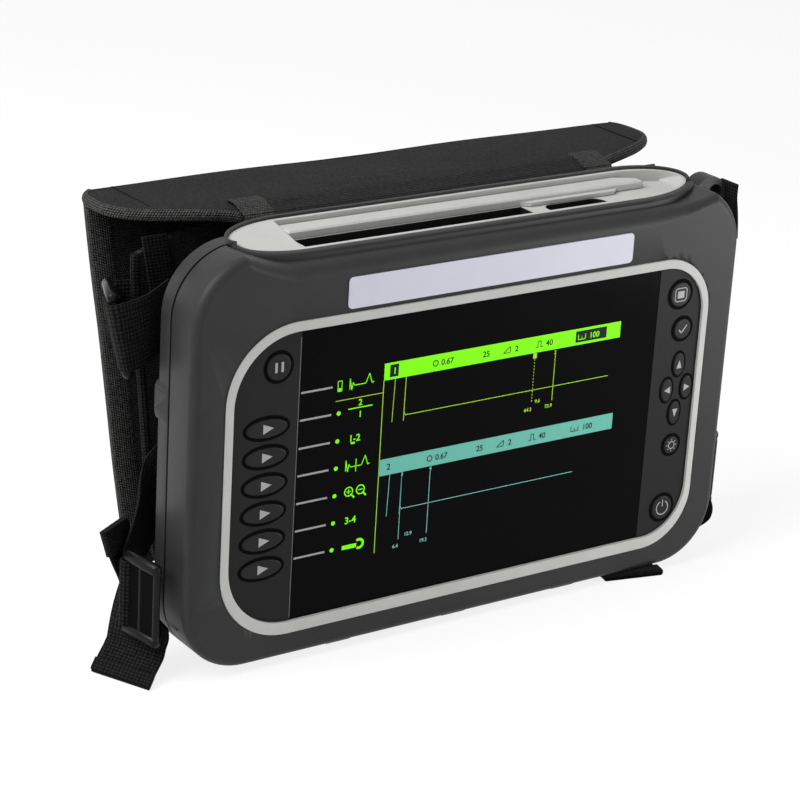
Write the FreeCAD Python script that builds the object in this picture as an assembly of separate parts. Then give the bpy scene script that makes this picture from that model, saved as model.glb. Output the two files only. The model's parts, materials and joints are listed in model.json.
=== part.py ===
import FreeCAD
import Part
import math
import os

# Two-channel time domain reflectometer, strapped to a soft case whose cover is thrown back.
# X is right, Y is back, Z is up, in millimetres. The origin is under the middle foot rib.

os.makedirs("parts", exist_ok=True)
V = FreeCAD.Vector
AHEAD = V(0, 1, 0)
UP = V(0, 0, 1)
ACROSS = V(1, 0, 0)

# The hard case: a rounded block split by a seam, its back drawn in like a tray.
BODY_HALF = 144.0
BODY_HEIGHT = 185.0
BODY_DEPTH = 55.0
BODY_CORNER = 30.0
FACE_Y = -27.5
EDGE_R = 4.0
WALL = 3.0
SEAM_DEPTH = 19.5
SEAM_GAP = 0.6
FULL_DEPTH = 27.5
BACK_BEVEL = 5.5
TAPER_IN = 20.0
TAPER_DROP = 17.0
TAPER_CORNER = 24.0
BACK_IN = 26.0
BACK_DROP = 23.0
BACK_LIFT = 4.0
BACK_CORNER = 20.0
SEAL_INSET = 0.8
SEAL_W = 1.8

# Foot ribs that the case stands on.
FOOT_H = 3.0
FOOT_LEN = 42.0
FOOT_W = 14.0
FOOT_PITCH = 62.0

# Clearances shared by mating pieces.
FIT = 0.15
SLIDE = 0.3
SEW = 0.2

# Case screws, their bosses and the tray's inner places.
SCREW_IN = 15.0
SCREW_LOW = 21.0
SCREW_HIGH = 23.0
SCREW_R = 1.5
SCREW_HOLE = 0.25
SCREW_BITE = 7.0
HEAD_R = 3.2
HEAD_H = 2.0
BOSS_R = 4.5
BOSS_DEPTH = 9.0
BOSS_ARM = 4.0

# The bezel ring on the face and what it frames.
RING_RISE = 82.6
RING_HALF_W = 128.2
RING_HALF_H = 71.1
RING_R_LEFT = 34.0
RING_R_RIGHT = 27.0
RING_SIDE = 3.5
RING_TOP = 4.1
RING_BOTTOM = 5.7
RING_PROUD = 0.8
RING_EDGE = 0.7
FLANGE = 2.5
FLANGE_T = 1.5
WINDOW_LEFT = -92.4
WINDOW_RIGHT = 98.8
WINDOW_SINK = 0.7
WINDOW_T = 1.8
PANEL_SINK = 0.5
PANEL_T = 2.2
LCD_W = 166.0
LCD_H = 104.0
LCD_X = 1.5
LCD_T = 6.5

# Keys: cap sizes, and the dark moat around each cap.
KEY_TRAVEL = 1.0
KEY_PLAY = 0.35
MOAT = 1.2
NAV_MOAT = 1.0
CAP_PROUD = 0.7
CAP_EDGE = 0.6
SKIRT = 0.9
NAV_SKIRT = 0.7
SKIRT_T = 1.0
MAT_T = 2.0
MAT_EDGE = 1.0
ROUND_BIG = 5.8
ROUND_MID = 4.8
ROUND_SMALL = 4.2
SOFT_A = 10.0
SOFT_B = 4.1
SOFT_X = -107.9
SOFT_TOP = 25.9
SOFT_PITCH = 12.8
NAV_A = 3.2
NAV_B = 5.6
NAV_X = 114.2
NAV_RISE = 7.0
NAV_DX = 5.8
NAV_DZ = 11.9
HOLD_X = -103.2
HOLD_RISE = 52.4
MENU_X = 111.2
MENU_RISE = 53.2
ACCEPT_RISE = 36.2
LIGHT_RISE = -21.1
POWER_X = 112.3
POWER_RISE = -52.4

# Boards and battery inside.
BOARD_T = 1.6
BOARD_GAP = 5.0
BOARD_CLEAR = 2.5
MAIN_H = 128.0
SHIELD_W = 80.0
SHIELD_H = 38.0
SHIELD_T = 5.0
SHIELD_X = -20.0
SPACER_R = 3.0
SPACER_IN = 7.5
BATTERY_W = 112.0
BATTERY_H = 64.0
BATTERY_T = 21.5
BATTERY_Z = 70.0
BATTERY_GAP = 1.0
BATTERY_EDGE = 4.0
COVER_RIM = 7.0
COVER_T = 2.0
COVER_CORNER = 5.0
COVER_SCREW_R = 1.4
COVER_HEAD_R = 2.7
COVER_HEAD_H = 1.0
COVER_SCREW_LEN = 4.6

# The canoe-shaped terminal bay in the top.
BAY_LEFT = -84.5
BAY_RIGHT = 92.5
BAY_END_LEFT = 30.5
BAY_END_RIGHT = 34.0
BAY_HALF = 13.0
BAY_SET = 23.5
BAY_SINK = 4.0
BAY_SLOPE = 0.2115
BAY_DEEP = 19.4
DECK_SINK = 0.6
BAY_RIM = 1.4
COLLAR = 3.5
COLLAR_DEEP = 14.0
REAR_COLLAR = 1.5
REAR_COLLAR_DEEP = 22.0
COLLAR_STEP = 0.9
RAMP_RUN = 10.0
RAMP_RISE = 4.0
POCKET_RIGHT = 118.0

# The hollow along the top edge of the face, and how far it runs before it fades out.
SCOOP_DROP = 7.5
SCOOP_R = 7.0
SCOOP_FLAT = 95.0
SCOOP_END = 119.0

# Terminal slot and port in the bay's deck, and the sockets under them.
SLOT_LEFT = -84.0
SLOT_RIGHT = 34.0
SLOT_FRONT = -15.0
SLOT_BACK = -4.0
PORT_LEFT = 43.0
PORT_RIGHT = 75.0
PORT_BACK = -6.6
PORT_R = 5.0
PANEL_DROP = 13.4
PANEL_SHEET = 2.5
PANEL_LAP = 3.0
SOCKET_R = 4.4
SOCKET_BORE = 2.05
SOCKET_LEN = 16.0
SOCKET_BASE = 2.0
SOCKET_PROUD = 4.0
SOCKET_Y = -10.0
SOCKET_X = -58.5
SOCKET_PITCH = 19.0
PAIR_PITCH = 53.0
CHARGE_X = 50.0
CHARGE_R = 4.0
CHARGE_BORE = 2.8
CHARGE_PIN = 1.0
DATA_X = 63.5
DATA_W = 8.4
DATA_D = 4.2
DATA_WALL = 0.6
PORT_PROUD = 2.5
PORT_LEN = 10.5

# Sliding shutter behind the slot.
SHUTTER_LEFT = -86.0
SHUTTER_RIGHT = 103.0
SHUTTER_FRONT = -3.4
SHUTTER_W = 10.0
SHUTTER_T = 3.4
SHUTTER_EDGE = 0.7
SHUTTER_CUT = 10.0
TAB_OUT = 3.0
TAB_T = 1.6
TAB_LEN = 54.0

# Label plate above the ring.
LABEL_LEFT = -70.7
LABEL_RIGHT = 80.1
LABEL_UP = 1.9
LABEL_H = 13.8
LABEL_R = 2.0
LABEL_T = 0.6

# Strap lugs on the sides and the eye on the right corner.
LUG_H = 18.0
LUG_D = 9.0
LUG_OUT = 2.4
LUG_Z = 121.0
EYE_R = 9.5
EYE_HOLE = 4.2
EYE_T = 9.0
EYE_OUT = 0.5
EYE_DROP = 13.2
EYE_SHIFT_X = 2.9
EYE_SHIFT_Z = 1.4

# Soft case: back panel, neck, roof and hanging front of the cover.
CLOTH_T = 4.0
PANEL_GAP = 3.0
PANEL_TOP_HALF = 140.8
PANEL_LOW_HALF = 124.8
PANEL_TOP_DROP = 4.0
PANEL_LOW_Z = 24.0
PANEL_R = 14.0
NECK_HALF = 98.0
NECK_T = 3.0
NECK_RISE = 2.4
HINGE_Y = 15.5
HINGE_UP = 1.0
ROLL_R = 2.2
FOLD_R = 1.5
ROOF_UP = 2.0
ROOF_FRONT = 17.5
ROOF_DEPTH = 52.3
ROOF_HALF = 147.5
FOLD_Y = 71.0
FRONT_GAP = 0.4
FRONT_TOP_HALF = 141.5
FRONT_LOW_HALF = 127.5
FRONT_LOW_Z = 22.0
FRONT_LEAN = 21.0
FRONT_R = 12.0

# Webbing and its three-bar slides.
WEB_W = 30.0
WEB_T = 1.6
EYE_WEB_W = 24.0
GLIDE_H = 39.0
GLIDE_W = 22.8
GLIDE_T = 3.0
GLIDE_R = 5.0
GLIDE_BAR = 3.0
GLIDE_SLOT = 7.4
GLIDE_SLOT_H = 32.4

# Places that follow from the sizes above.
body_bottom = FOOT_H
body_top = body_bottom + BODY_HEIGHT
back_y = FACE_Y + BODY_DEPTH
full_y = FACE_Y + FULL_DEPTH
taper_y = back_y - BACK_BEVEL
seam_y = FACE_Y + SEAM_DEPTH
front_seam = seam_y - SEAM_GAP / 2
rear_seam = seam_y + SEAM_GAP / 2
inner_face = FACE_Y + WALL
hollow_x = BODY_HALF - WALL
ring_z = body_bottom + RING_RISE
ring_x0 = -RING_HALF_W
ring_x1 = RING_HALF_W
ring_z0 = ring_z - RING_HALF_H
ring_z1 = ring_z + RING_HALF_H
in_x0 = ring_x0 + RING_SIDE
in_x1 = ring_x1 - RING_SIDE
in_z0 = ring_z0 + RING_BOTTOM
in_z1 = ring_z1 - RING_TOP
in_left_r = RING_R_LEFT - RING_SIDE
in_right_r = RING_R_RIGHT - RING_SIDE
flange_back = inner_face + FLANGE_T
screw_x = BODY_HALF - BACK_IN - SCREW_IN
screw_low = body_bottom + SCREW_LOW
screw_high = body_top - BACK_DROP - SCREW_HIGH
screw_spots = [(x, z) for x in (-screw_x, screw_x) for z in (screw_low, screw_high)]
boss_front = front_seam - BOSS_DEPTH
bay_y = FACE_Y + BAY_SET
bay_front_z = body_top - BAY_SINK
bay_deck = bay_front_z - DECK_SINK
bay_floor = bay_deck - BAY_DEEP
bay_over = body_top + 30.0
panel_z = bay_deck - PANEL_DROP
cloth_y = back_y + PANEL_GAP
cloth_back = cloth_y + CLOTH_T
roof_low = body_top + ROOF_UP
fold_z = roof_low + CLOTH_T / 2


def save(name, shape):
    shape.exportStep("parts/" + name + ".step")


def box(x0, x1, y0, y1, z0, z1):
    return Part.makeBox(x1 - x0, y1 - y0, z1 - z0, V(x0, y0, z0))


def rod(x, y, z, r, h, way):
    return Part.makeCylinder(r, h, V(x, y, z), way)


def sheet(points):
    """A flat face through a ring of points."""
    return Part.Face(Part.makePolygon(points + points[:1]))


def outline(x0, x1, z0, z1, left_r, right_r, y):
    """A rounded rectangle standing in the plane at y, its left and right corners apart."""

    def corner(cx, cz, r, start):
        turn = [math.radians(start + step) for step in (0, 45, 90)]
        return Part.Arc(*[V(cx + r * math.cos(a), y, cz + r * math.sin(a)) for a in turn]).toShape()

    corners = [
        corner(x1 - right_r, z1 - right_r, right_r, 0),
        corner(x0 + left_r, z1 - left_r, left_r, 90),
        corner(x0 + left_r, z0 + left_r, left_r, 180),
        corner(x1 - right_r, z0 + right_r, right_r, 270),
    ]
    edges = []
    for i, arc in enumerate(corners):
        after = corners[(i + 1) % 4]
        edges.append(arc)
        edges.append(Part.makeLine(arc.Vertexes[-1].Point, after.Vertexes[0].Point))
    return Part.Wire(edges)


def slab(x0, x1, z0, z1, left_r, right_r, y0, y1):
    return Part.Face(outline(x0, x1, z0, z1, left_r, right_r, y0)).extrude(V(0, y1 - y0, 0))


def edges_at(shape, y):
    """The edges that lie wholly in the plane at y."""
    return [e for e in shape.Edges if abs(e.BoundBox.YMax - y) < 0.01 and e.BoundBox.YLength < 0.01]


def canoe(grow, z0, z1):
    """The bay's outline, a straight-sided boat with elliptical ends, grown by an offset."""
    half = BAY_HALF + grow
    right = Part.Ellipse(V(BAY_RIGHT, bay_y, z0), BAY_END_RIGHT + grow, half)
    left = Part.Ellipse(V(BAY_LEFT, bay_y, z0), BAY_END_LEFT + grow, half)
    end_r = Part.ArcOfEllipse(right, -math.pi / 2, math.pi / 2).toShape()
    end_l = Part.ArcOfEllipse(left, math.pi / 2, 3 * math.pi / 2).toShape()
    back = Part.makeLine(V(BAY_RIGHT, bay_y + half, z0), V(BAY_LEFT, bay_y + half, z0))
    front = Part.makeLine(V(BAY_LEFT, bay_y - half, z0), V(BAY_RIGHT, bay_y - half, z0))
    return Part.Face(Part.Wire([end_r, back, end_l, front])).extrude(V(0, 0, z1 - z0))


def over_rim(lift):
    """Everything above the sloping rim of the bay, raised by lift."""
    reach = 60.0
    middle = bay_front_z + BAY_SLOPE * BAY_HALF + lift
    side = -BODY_HALF - reach
    points = [
        V(side, bay_y - reach, middle - BAY_SLOPE * reach),
        V(side, bay_y + reach, middle + BAY_SLOPE * reach),
        V(side, bay_y + reach, bay_over + reach),
        V(side, bay_y - reach, bay_over + reach),
    ]
    return sheet(points).extrude(V(-2 * side, 0, 0))


def oval(x, z, a, b, y0, y1):
    """An oval pin along Y; a is the half-width and b the half-height."""
    if abs(a - b) < 1e-6:
        return rod(x, y0, z, a, y1 - y0, AHEAD)
    major = V(a, 0, 0) if a > b else V(0, 0, b)
    minor = V(0, 0, b) if a > b else V(-a, 0, 0)
    middle = V(x, y0, z)
    curve = Part.Ellipse(middle + major, middle + minor, middle)
    return Part.Face(Part.Wire([curve.toShape()])).extrude(V(0, y1 - y0, 0))


def band(pairs, thick=WEB_T):
    """A flat strap through a row of crosswise lines, each given by its two ends."""
    wires = []
    middles = [(p + q) * 0.5 for p, q in pairs]
    last = len(pairs) - 1
    for i, (p, q) in enumerate(pairs):
        along = middles[min(i + 1, last)] - middles[max(i - 1, 0)]
        out = along.cross(q - p)
        out.normalize()
        t = out * (thick / 2)
        wires.append(Part.makePolygon([p - t, q - t, q + t, p + t, p - t]))
    return Part.makeLoft(wires, True, True)


def spread(point, across, width=WEB_W):
    """The two ends of a crosswise line through a point."""
    side = V(across)
    side.normalize()
    return point - side * (width / 2), point + side * (width / 2)


def ribbon(points, across, width=WEB_W):
    """A strap along points; across holds the width direction at each point, squared to the path."""
    pairs = []
    last = len(points) - 1
    for i, p in enumerate(points):
        along = points[min(i + 1, last)] - points[max(i - 1, 0)]
        along.normalize()
        side = V(across[i])
        pairs.append(spread(p, side - along * side.dot(along), width))
    return band(pairs)


def mirrored(shape):
    return shape.mirror(V(0, 0, 0), V(1, 0, 0))


# Front shell: a filleted block, scooped along the top edge, with a collar round the bay.
front = slab(-BODY_HALF, BODY_HALF, body_bottom, body_top, BODY_CORNER, BODY_CORNER, FACE_Y, front_seam)
front = front.makeFillet(EDGE_R, edges_at(front, FACE_Y))


def scoop_wire(x, low, high, reach):
    """Section of the hollow along the face's top edge: a quarter round, then flat to the back."""
    away = 5.0
    ceiling = body_top + 40.0
    bend = V(x, FACE_Y + reach * 0.293, high - (high - low) * 0.293)
    points = [
        V(x, FACE_Y - away, low),
        V(x, FACE_Y, low),
        V(x, FACE_Y + reach, high),
        V(x, seam_y + away, high),
        V(x, seam_y + away, ceiling),
        V(x, FACE_Y - away, ceiling),
    ]
    edges = [Part.makeLine(points[0], points[1]), Part.Arc(points[1], bend, points[2]).toShape()]
    edges += [Part.makeLine(points[i], points[(i + 1) % 6]) for i in (2, 3, 4, 5)]
    return Part.Wire(edges)


scoop_z = body_top - SCOOP_DROP
scoop_full = (scoop_z - SCOOP_R, scoop_z, SCOOP_R)
scoop_none = (body_top - EDGE_R, body_top + 0.4, EDGE_R + 0.4)
scoop = Part.makeLoft(
    [
        scoop_wire(-SCOOP_END, *scoop_none),
        scoop_wire(-SCOOP_FLAT, *scoop_full),
        scoop_wire(SCOOP_FLAT, *scoop_full),
        scoop_wire(SCOOP_END, *scoop_none),
    ],
    True,
    True,
)
front = front.cut(scoop)
inner_r = BODY_CORNER - WALL
hollow = slab(-hollow_x, hollow_x, body_bottom + WALL, body_top - WALL, inner_r, inner_r, inner_face, seam_y)
hollow = hollow.cut(scoop.translated(V(0, WALL, -WALL)))
front = front.cut(hollow)
far = BODY_HALF + 60.0
front_half = box(-far, far, FACE_Y - far, front_seam, -far, bay_over)
rear_half = box(-far, far, rear_seam, back_y + far, -far, bay_over)
collar = canoe(COLLAR, body_top - COLLAR_DEEP, bay_over).cut(over_rim(0))
front = front.fuse(collar.common(front_half))
bay_hole = canoe(0, bay_floor - COLLAR_DEEP, bay_over)
front = front.cut(bay_hole)
ring_hole = slab(
    ring_x0 - FIT, ring_x1 + FIT, ring_z0 - FIT, ring_z1 + FIT,
    RING_R_LEFT + FIT, RING_R_RIGHT + FIT, FACE_Y - WALL, inner_face + WALL,
)
front = front.cut(ring_hole)
for x, z in screw_spots:
    post = rod(x, boss_front, z, BOSS_R, BOSS_DEPTH, AHEAD)
    wall_x = math.copysign(BODY_HALF - WALL / 2, x)
    low_z = z - BOSS_ARM / 2
    arm = box(min(x, wall_x), max(x, wall_x), boss_front, front_seam, low_z, low_z + BOSS_ARM)
    front = front.fuse(post).fuse(arm)
    front = front.cut(rod(x, boss_front - 1, z, SCREW_R, BOSS_DEPTH + 2, AHEAD))
save("front_shell", front.removeSplitter())


def tray(grow, y0):
    """The back half as a block whose sides and top draw in toward the back."""
    g = grow
    stations = [
        (0, 0, 0, BODY_CORNER, y0),
        (0, 0, 0, BODY_CORNER, full_y),
        (TAPER_IN, TAPER_DROP, 0, TAPER_CORNER, taper_y + g),
        (BACK_IN, BACK_DROP, BACK_LIFT, BACK_CORNER, back_y + g),
    ]
    wires = []
    for inward, drop, lift, r, y in stations:
        half = BODY_HALF - inward + g
        wires.append(outline(-half, half, body_bottom + lift - g, body_top - drop + g, r + g, r + g, y))
    return Part.makeLoft(wires, True, True)


# Rear shell: the tray, hollowed, with its half of the collar, screw bosses, side lugs and the eye.
cover_half = BATTERY_W / 2 + COVER_RIM + BATTERY_GAP
cover_low = BATTERY_Z - BATTERY_H / 2 - COVER_RIM + BATTERY_GAP
cover_high = BATTERY_Z + BATTERY_H / 2 + COVER_RIM - BATTERY_GAP
cover_spot = BATTERY_W / 2 + BATTERY_GAP + COVER_RIM / 2 - 0.2
cover_spots = [(-cover_spot, BATTERY_Z), (cover_spot, BATTERY_Z)]
cavity = tray(-WALL, rear_seam - WALL)
rear = tray(0, rear_seam).cut(cavity)
rear_collar = canoe(REAR_COLLAR, body_top - REAR_COLLAR_DEEP, bay_over).cut(over_rim(COLLAR_STEP))
rear = rear.fuse(rear_collar.common(rear_half))
for side in (-1, 1):
    lug = slab(-LUG_H / 2, LUG_H / 2, -6, 6, 5, 5, 0, LUG_D).rotated(V(0, 0, 0), AHEAD, 90)
    lug = lug.translated(V(side * (BODY_HALF - 6 + LUG_OUT), rear_seam + SEAM_GAP, LUG_Z))
    rear = rear.fuse(lug.cut(cavity))
eye_x = BODY_HALF - EYE_OUT
eye_z = body_top - EYE_DROP
eye_y = rear_seam + SEAM_GAP + 3.0
eye = rod(eye_x, eye_y, eye_z, EYE_R, EYE_T, AHEAD)
eye = eye.cut(rod(eye_x + EYE_SHIFT_X, eye_y - 1, eye_z + EYE_SHIFT_Z, EYE_HOLE, EYE_T + 2, AHEAD))
rear = rear.fuse(eye.cut(cavity))
for x, z in screw_spots:
    rear = rear.fuse(rod(x, rear_seam, z, BOSS_R, back_y - 1 - rear_seam, AHEAD))
rear = rear.cut(bay_hole)
head_seat = back_y - HEAD_H - 2 * FIT
for x, z in screw_spots:
    rear = rear.cut(rod(x, rear_seam - 1, z, SCREW_R + SCREW_HOLE, BODY_DEPTH, AHEAD))
    rear = rear.cut(rod(x, head_seat, z, HEAD_R + FIT, BODY_DEPTH, AHEAD))
cover_seat = back_y - COVER_T
cover_hole = slab(
    -cover_half - FIT, cover_half + FIT, cover_low - FIT, cover_high + FIT,
    COVER_CORNER + FIT, COVER_CORNER + FIT, cover_seat, back_y + WALL,
)
rear = rear.cut(cover_hole)
battery_x = BATTERY_W / 2 + BATTERY_GAP
battery_low = BATTERY_Z - BATTERY_H / 2 - BATTERY_GAP
battery_high = BATTERY_Z + BATTERY_H / 2 + BATTERY_GAP
rear = rear.cut(box(-battery_x, battery_x, cover_seat - 2 * WALL, back_y + WALL, battery_low, battery_high))
for x, z in cover_spots:
    rear = rear.cut(rod(x, cover_seat - WALL, z, COVER_SCREW_R, 2 * WALL, AHEAD))
save("rear_shell", rear.removeSplitter())

# Seal in the seam, a little inside the outer skin so that the seam reads as a dark line.
seal_out = BODY_HALF - SEAL_INSET
seal_in = seal_out - SEAL_W
seal_r = BODY_CORNER - SEAL_INSET
seal_low = body_bottom + SEAL_INSET
seal_high = body_top - SEAL_INSET
seal = slab(-seal_out, seal_out, seal_low, seal_high, seal_r, seal_r, front_seam, rear_seam)
seal_r = seal_r - SEAL_W
seal_low = seal_low + SEAL_W
seal_high = seal_high - SEAL_W
seal = seal.cut(slab(-seal_in, seal_in, seal_low, seal_high, seal_r, seal_r, front_seam - 1, rear_seam + 1))
seal = seal.cut(canoe(COLLAR + SEW, bay_floor - COLLAR_DEEP, bay_over))
save("case_seal", seal)

# Foot ribs under the base.
feet = []
for x in (-FOOT_PITCH, 0.0, FOOT_PITCH):
    foot = box(x - FOOT_W / 2, x + FOOT_W / 2, -FOOT_LEN / 2, FOOT_LEN / 2, 0, FOOT_H)
    feet.append(foot.makeChamfer(1.0, [e for e in foot.Edges if abs(e.BoundBox.ZMax) < 0.01]))
save("foot_ribs", Part.makeCompound(feet))

# Bezel ring with a flange behind the front wall.
ring_front = FACE_Y - RING_PROUD
ring = slab(ring_x0, ring_x1, ring_z0, ring_z1, RING_R_LEFT, RING_R_RIGHT, ring_front, flange_back)
ring = ring.makeFillet(RING_EDGE, edges_at(ring, ring_front))
flange = slab(
    ring_x0 - FLANGE, ring_x1 + FLANGE, ring_z0 - FLANGE, ring_z1 + FLANGE,
    RING_R_LEFT + FLANGE, RING_R_RIGHT + FLANGE, inner_face, flange_back,
)
ring = ring.fuse(flange)
ring = ring.cut(slab(in_x0, in_x1, in_z0, in_z1, in_left_r, in_right_r, ring_front - 1, flange_back + 1))
save("bezel_ring", ring)


def field(x0, x1, y0, y1):
    """The part of the ring's opening between two upright cuts."""
    left_r = in_left_r - FIT
    right_r = in_right_r - FIT
    whole = slab(in_x0 + FIT, in_x1 - FIT, in_z0 + FIT, in_z1 - FIT, left_r, right_r, y0, y1)
    return whole.common(box(x0, x1, y0 - 1, y1 + 1, in_z0 - 1, in_z1 + 1))


# Display window, two key panels, the keys, and the mats and switch boards behind them.
window_y = FACE_Y + WINDOW_SINK
window = field(WINDOW_LEFT + FIT, WINDOW_RIGHT - FIT, window_y, window_y + WINDOW_T)
save("display_window", window)
panel_y = FACE_Y + PANEL_SINK
panel_back = panel_y + PANEL_T
left_panel = field(in_x0, WINDOW_LEFT, panel_y, panel_back)
right_panel = field(WINDOW_RIGHT, in_x1, panel_y, panel_back)
skirt_y = panel_back + KEY_PLAY
mat_y = skirt_y + SKIRT_T + KEY_TRAVEL + KEY_PLAY
mat_back = mat_y + MAT_T

# Keys: name, x, height above the ring's middle, half-width, half-height, moat and skirt.
keys = [("key_hold", HOLD_X, HOLD_RISE, ROUND_BIG, ROUND_BIG, MOAT, SKIRT)]
for i in range(6):
    keys.append(("key_soft_%d" % (i + 1), SOFT_X, SOFT_TOP - SOFT_PITCH * i, SOFT_A, SOFT_B, MOAT, SKIRT))
keys += [
    ("key_menu", MENU_X, MENU_RISE, ROUND_BIG, ROUND_BIG, MOAT, SKIRT),
    ("key_accept", NAV_X, ACCEPT_RISE, ROUND_MID, ROUND_MID, MOAT, SKIRT),
    ("key_up", NAV_X, NAV_RISE + NAV_DZ, NAV_A, NAV_B, NAV_MOAT, NAV_SKIRT),
    ("key_left", NAV_X - NAV_DX, NAV_RISE, NAV_A, NAV_B, NAV_MOAT, NAV_SKIRT),
    ("key_right", NAV_X + NAV_DX, NAV_RISE, NAV_A, NAV_B, NAV_MOAT, NAV_SKIRT),
    ("key_down", NAV_X, NAV_RISE - NAV_DZ, NAV_A, NAV_B, NAV_MOAT, NAV_SKIRT),
    ("key_light", NAV_X, LIGHT_RISE, ROUND_SMALL, ROUND_SMALL, MOAT, SKIRT),
    ("key_power", POWER_X, POWER_RISE, ROUND_BIG, ROUND_BIG, MOAT, SKIRT),
]
cap_front = panel_y - CAP_PROUD
skirt_back = skirt_y + SKIRT_T
for name, x, rise, a, b, moat, skirt in keys:
    z = ring_z + rise
    well = oval(x, z, a + moat, b + moat, panel_y - 1, panel_back + 1)
    if x < 0:
        left_panel = left_panel.cut(well)
    else:
        right_panel = right_panel.cut(well)
    cap = oval(x, z, a, b, cap_front, skirt_back)
    cap = cap.makeFillet(CAP_EDGE, edges_at(cap, cap_front))
    cap = cap.fuse(oval(x, z, a + skirt, b + skirt, skirt_y, skirt_back))
    save(name, cap)
save("left_key_panel", left_panel)
save("right_key_panel", right_panel)
left_span = (in_x0 + MAT_EDGE, WINDOW_LEFT - MAT_EDGE)
right_span = (WINDOW_RIGHT + MAT_EDGE, in_x1 - MAT_EDGE)
save("left_key_mat", field(*left_span, mat_y, mat_back))
save("right_key_mat", field(*right_span, mat_y, mat_back))
save("left_switch_board", field(*left_span, mat_back, mat_back + BOARD_T))
save("right_switch_board", field(*right_span, mat_back, mat_back + BOARD_T))

# Display module behind the window, and the boards and battery behind that.
lcd_y = window_y + WINDOW_T
lcd_back = lcd_y + LCD_T
lcd_x0 = LCD_X - LCD_W / 2
lcd_x1 = LCD_X + LCD_W / 2
lcd_z0 = ring_z - LCD_H / 2
lcd_z1 = ring_z + LCD_H / 2
save("lcd_module", box(lcd_x0, lcd_x1, lcd_y, lcd_back, lcd_z0, lcd_z1))
main_y = lcd_back + BOARD_GAP
main_back = main_y + BOARD_T
main_z1 = ring_z + MAIN_H / 2
main_half = screw_x - BOSS_R - BOARD_CLEAR
save("main_board", box(-main_half, main_half, main_y, main_back, ring_z - MAIN_H / 2, main_z1))
shield_x0 = SHIELD_X - SHIELD_W / 2
shield_z1 = main_z1 - BOARD_GAP
shield = box(shield_x0, shield_x0 + SHIELD_W, main_back, main_back + SHIELD_T, shield_z1 - SHIELD_H, shield_z1)
save("pulse_shield", shield)
spacers = []
for x in (lcd_x0 + SPACER_IN, lcd_x1 - SPACER_IN):
    for z in (lcd_z0 + SPACER_IN, lcd_z1 - SPACER_IN):
        spacers.append(rod(x, lcd_back, z, SPACER_R, BOARD_GAP, AHEAD))
save("board_spacers", Part.makeCompound(spacers))
battery = box(
    -BATTERY_W / 2, BATTERY_W / 2, cover_seat - BATTERY_T, cover_seat,
    BATTERY_Z - BATTERY_H / 2, BATTERY_Z + BATTERY_H / 2,
)
battery = battery.makeFillet(BATTERY_EDGE, [e for e in battery.Edges if e.BoundBox.XLength > BATTERY_W - 0.01])
save("battery_pack", battery)
cover = slab(-cover_half, cover_half, cover_low, cover_high, COVER_CORNER, COVER_CORNER, cover_seat, back_y)
cover_top = back_y - FIT
for x, z in cover_spots:
    cover = cover.cut(rod(x, cover_seat - 1, z, COVER_SCREW_R + FIT, COVER_T + 2, AHEAD))
    cover = cover.cut(rod(x, cover_top - COVER_HEAD_H, z, COVER_HEAD_R + FIT, COVER_T, AHEAD))
save("battery_cover", cover)


def screw(x, z, top, head, high, shank, length):
    """A slotted screw along Y with its head at the back."""
    body = rod(x, top - high, z, head, high, AHEAD).fuse(rod(x, top - length, z, shank, length, AHEAD))
    return body.cut(box(x - 0.4, x + 0.4, top - 0.7, top + 1, z - head * 0.8, z + head * 0.8))


lids = [screw(x, z, cover_top, COVER_HEAD_R, COVER_HEAD_H, COVER_SCREW_R, COVER_SCREW_LEN) for x, z in cover_spots]
save("battery_cover_screws", Part.makeCompound(lids))
head_top = head_seat + HEAD_H
screw_len = head_top - front_seam + SCREW_BITE
long_screws = [screw(x, z, head_top, HEAD_R, HEAD_H, SCREW_R, screw_len) for x, z in screw_spots]
save("case_screws", Part.makeCompound(long_screws))

# Label plate.
label_low = ring_z1 + LABEL_UP
label_high = label_low + LABEL_H
save("label_plate", slab(LABEL_LEFT, LABEL_RIGHT, label_low, label_high, LABEL_R, LABEL_R, FACE_Y - LABEL_T, FACE_Y))

# Terminal bay: boat-shaped moulding, its pocket, the long terminal slot and the round-backed port.
bay = canoe(-FIT, bay_floor, bay_over).cut(over_rim(-SEW))
inside = canoe(-FIT - BAY_RIM, bay_deck, bay_over)
wide = BAY_HALF + 20.0
bay = bay.cut(inside.common(box(SHUTTER_LEFT - 1.0, POCKET_RIGHT, bay_y - wide, bay_y + wide, 0, bay_over)))
ramp_x = POCKET_RIGHT - 2.0
ramp = sheet([
    V(ramp_x, bay_y - wide, bay_deck),
    V(ramp_x + RAMP_RUN + 2.0, bay_y - wide, bay_deck + RAMP_RISE),
    V(ramp_x + RAMP_RUN + 2.0, bay_y - wide, bay_over),
    V(ramp_x, bay_y - wide, bay_over),
])
bay = bay.cut(ramp.extrude(V(0, 2 * wide, 0)).common(inside))
under = bay_floor - 1.0
above = bay_deck + 1.0
bay = bay.cut(box(SLOT_LEFT, SLOT_RIGHT, SLOT_FRONT, SLOT_BACK, under, above))
port = box(PORT_LEFT, PORT_RIGHT, SLOT_FRONT, PORT_BACK, under, above)
port_edges = [e for e in port.Edges if e.BoundBox.ZLength > 5 and abs(e.BoundBox.YMax - PORT_BACK) < 0.01]
bay = bay.cut(port.makeFillet(PORT_R, port_edges))
tray_x0 = SLOT_LEFT - 2 * PANEL_LAP
tray_x1 = PORT_RIGHT + 2 * PANEL_LAP
tray_y0 = SLOT_FRONT - 1.0
tray_y1 = SLOT_BACK + PANEL_LAP * 3
bay = bay.cut(box(tray_x0, tray_x1, tray_y0, tray_y1, under, panel_z))
save("terminal_bay", bay.removeSplitter())

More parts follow.
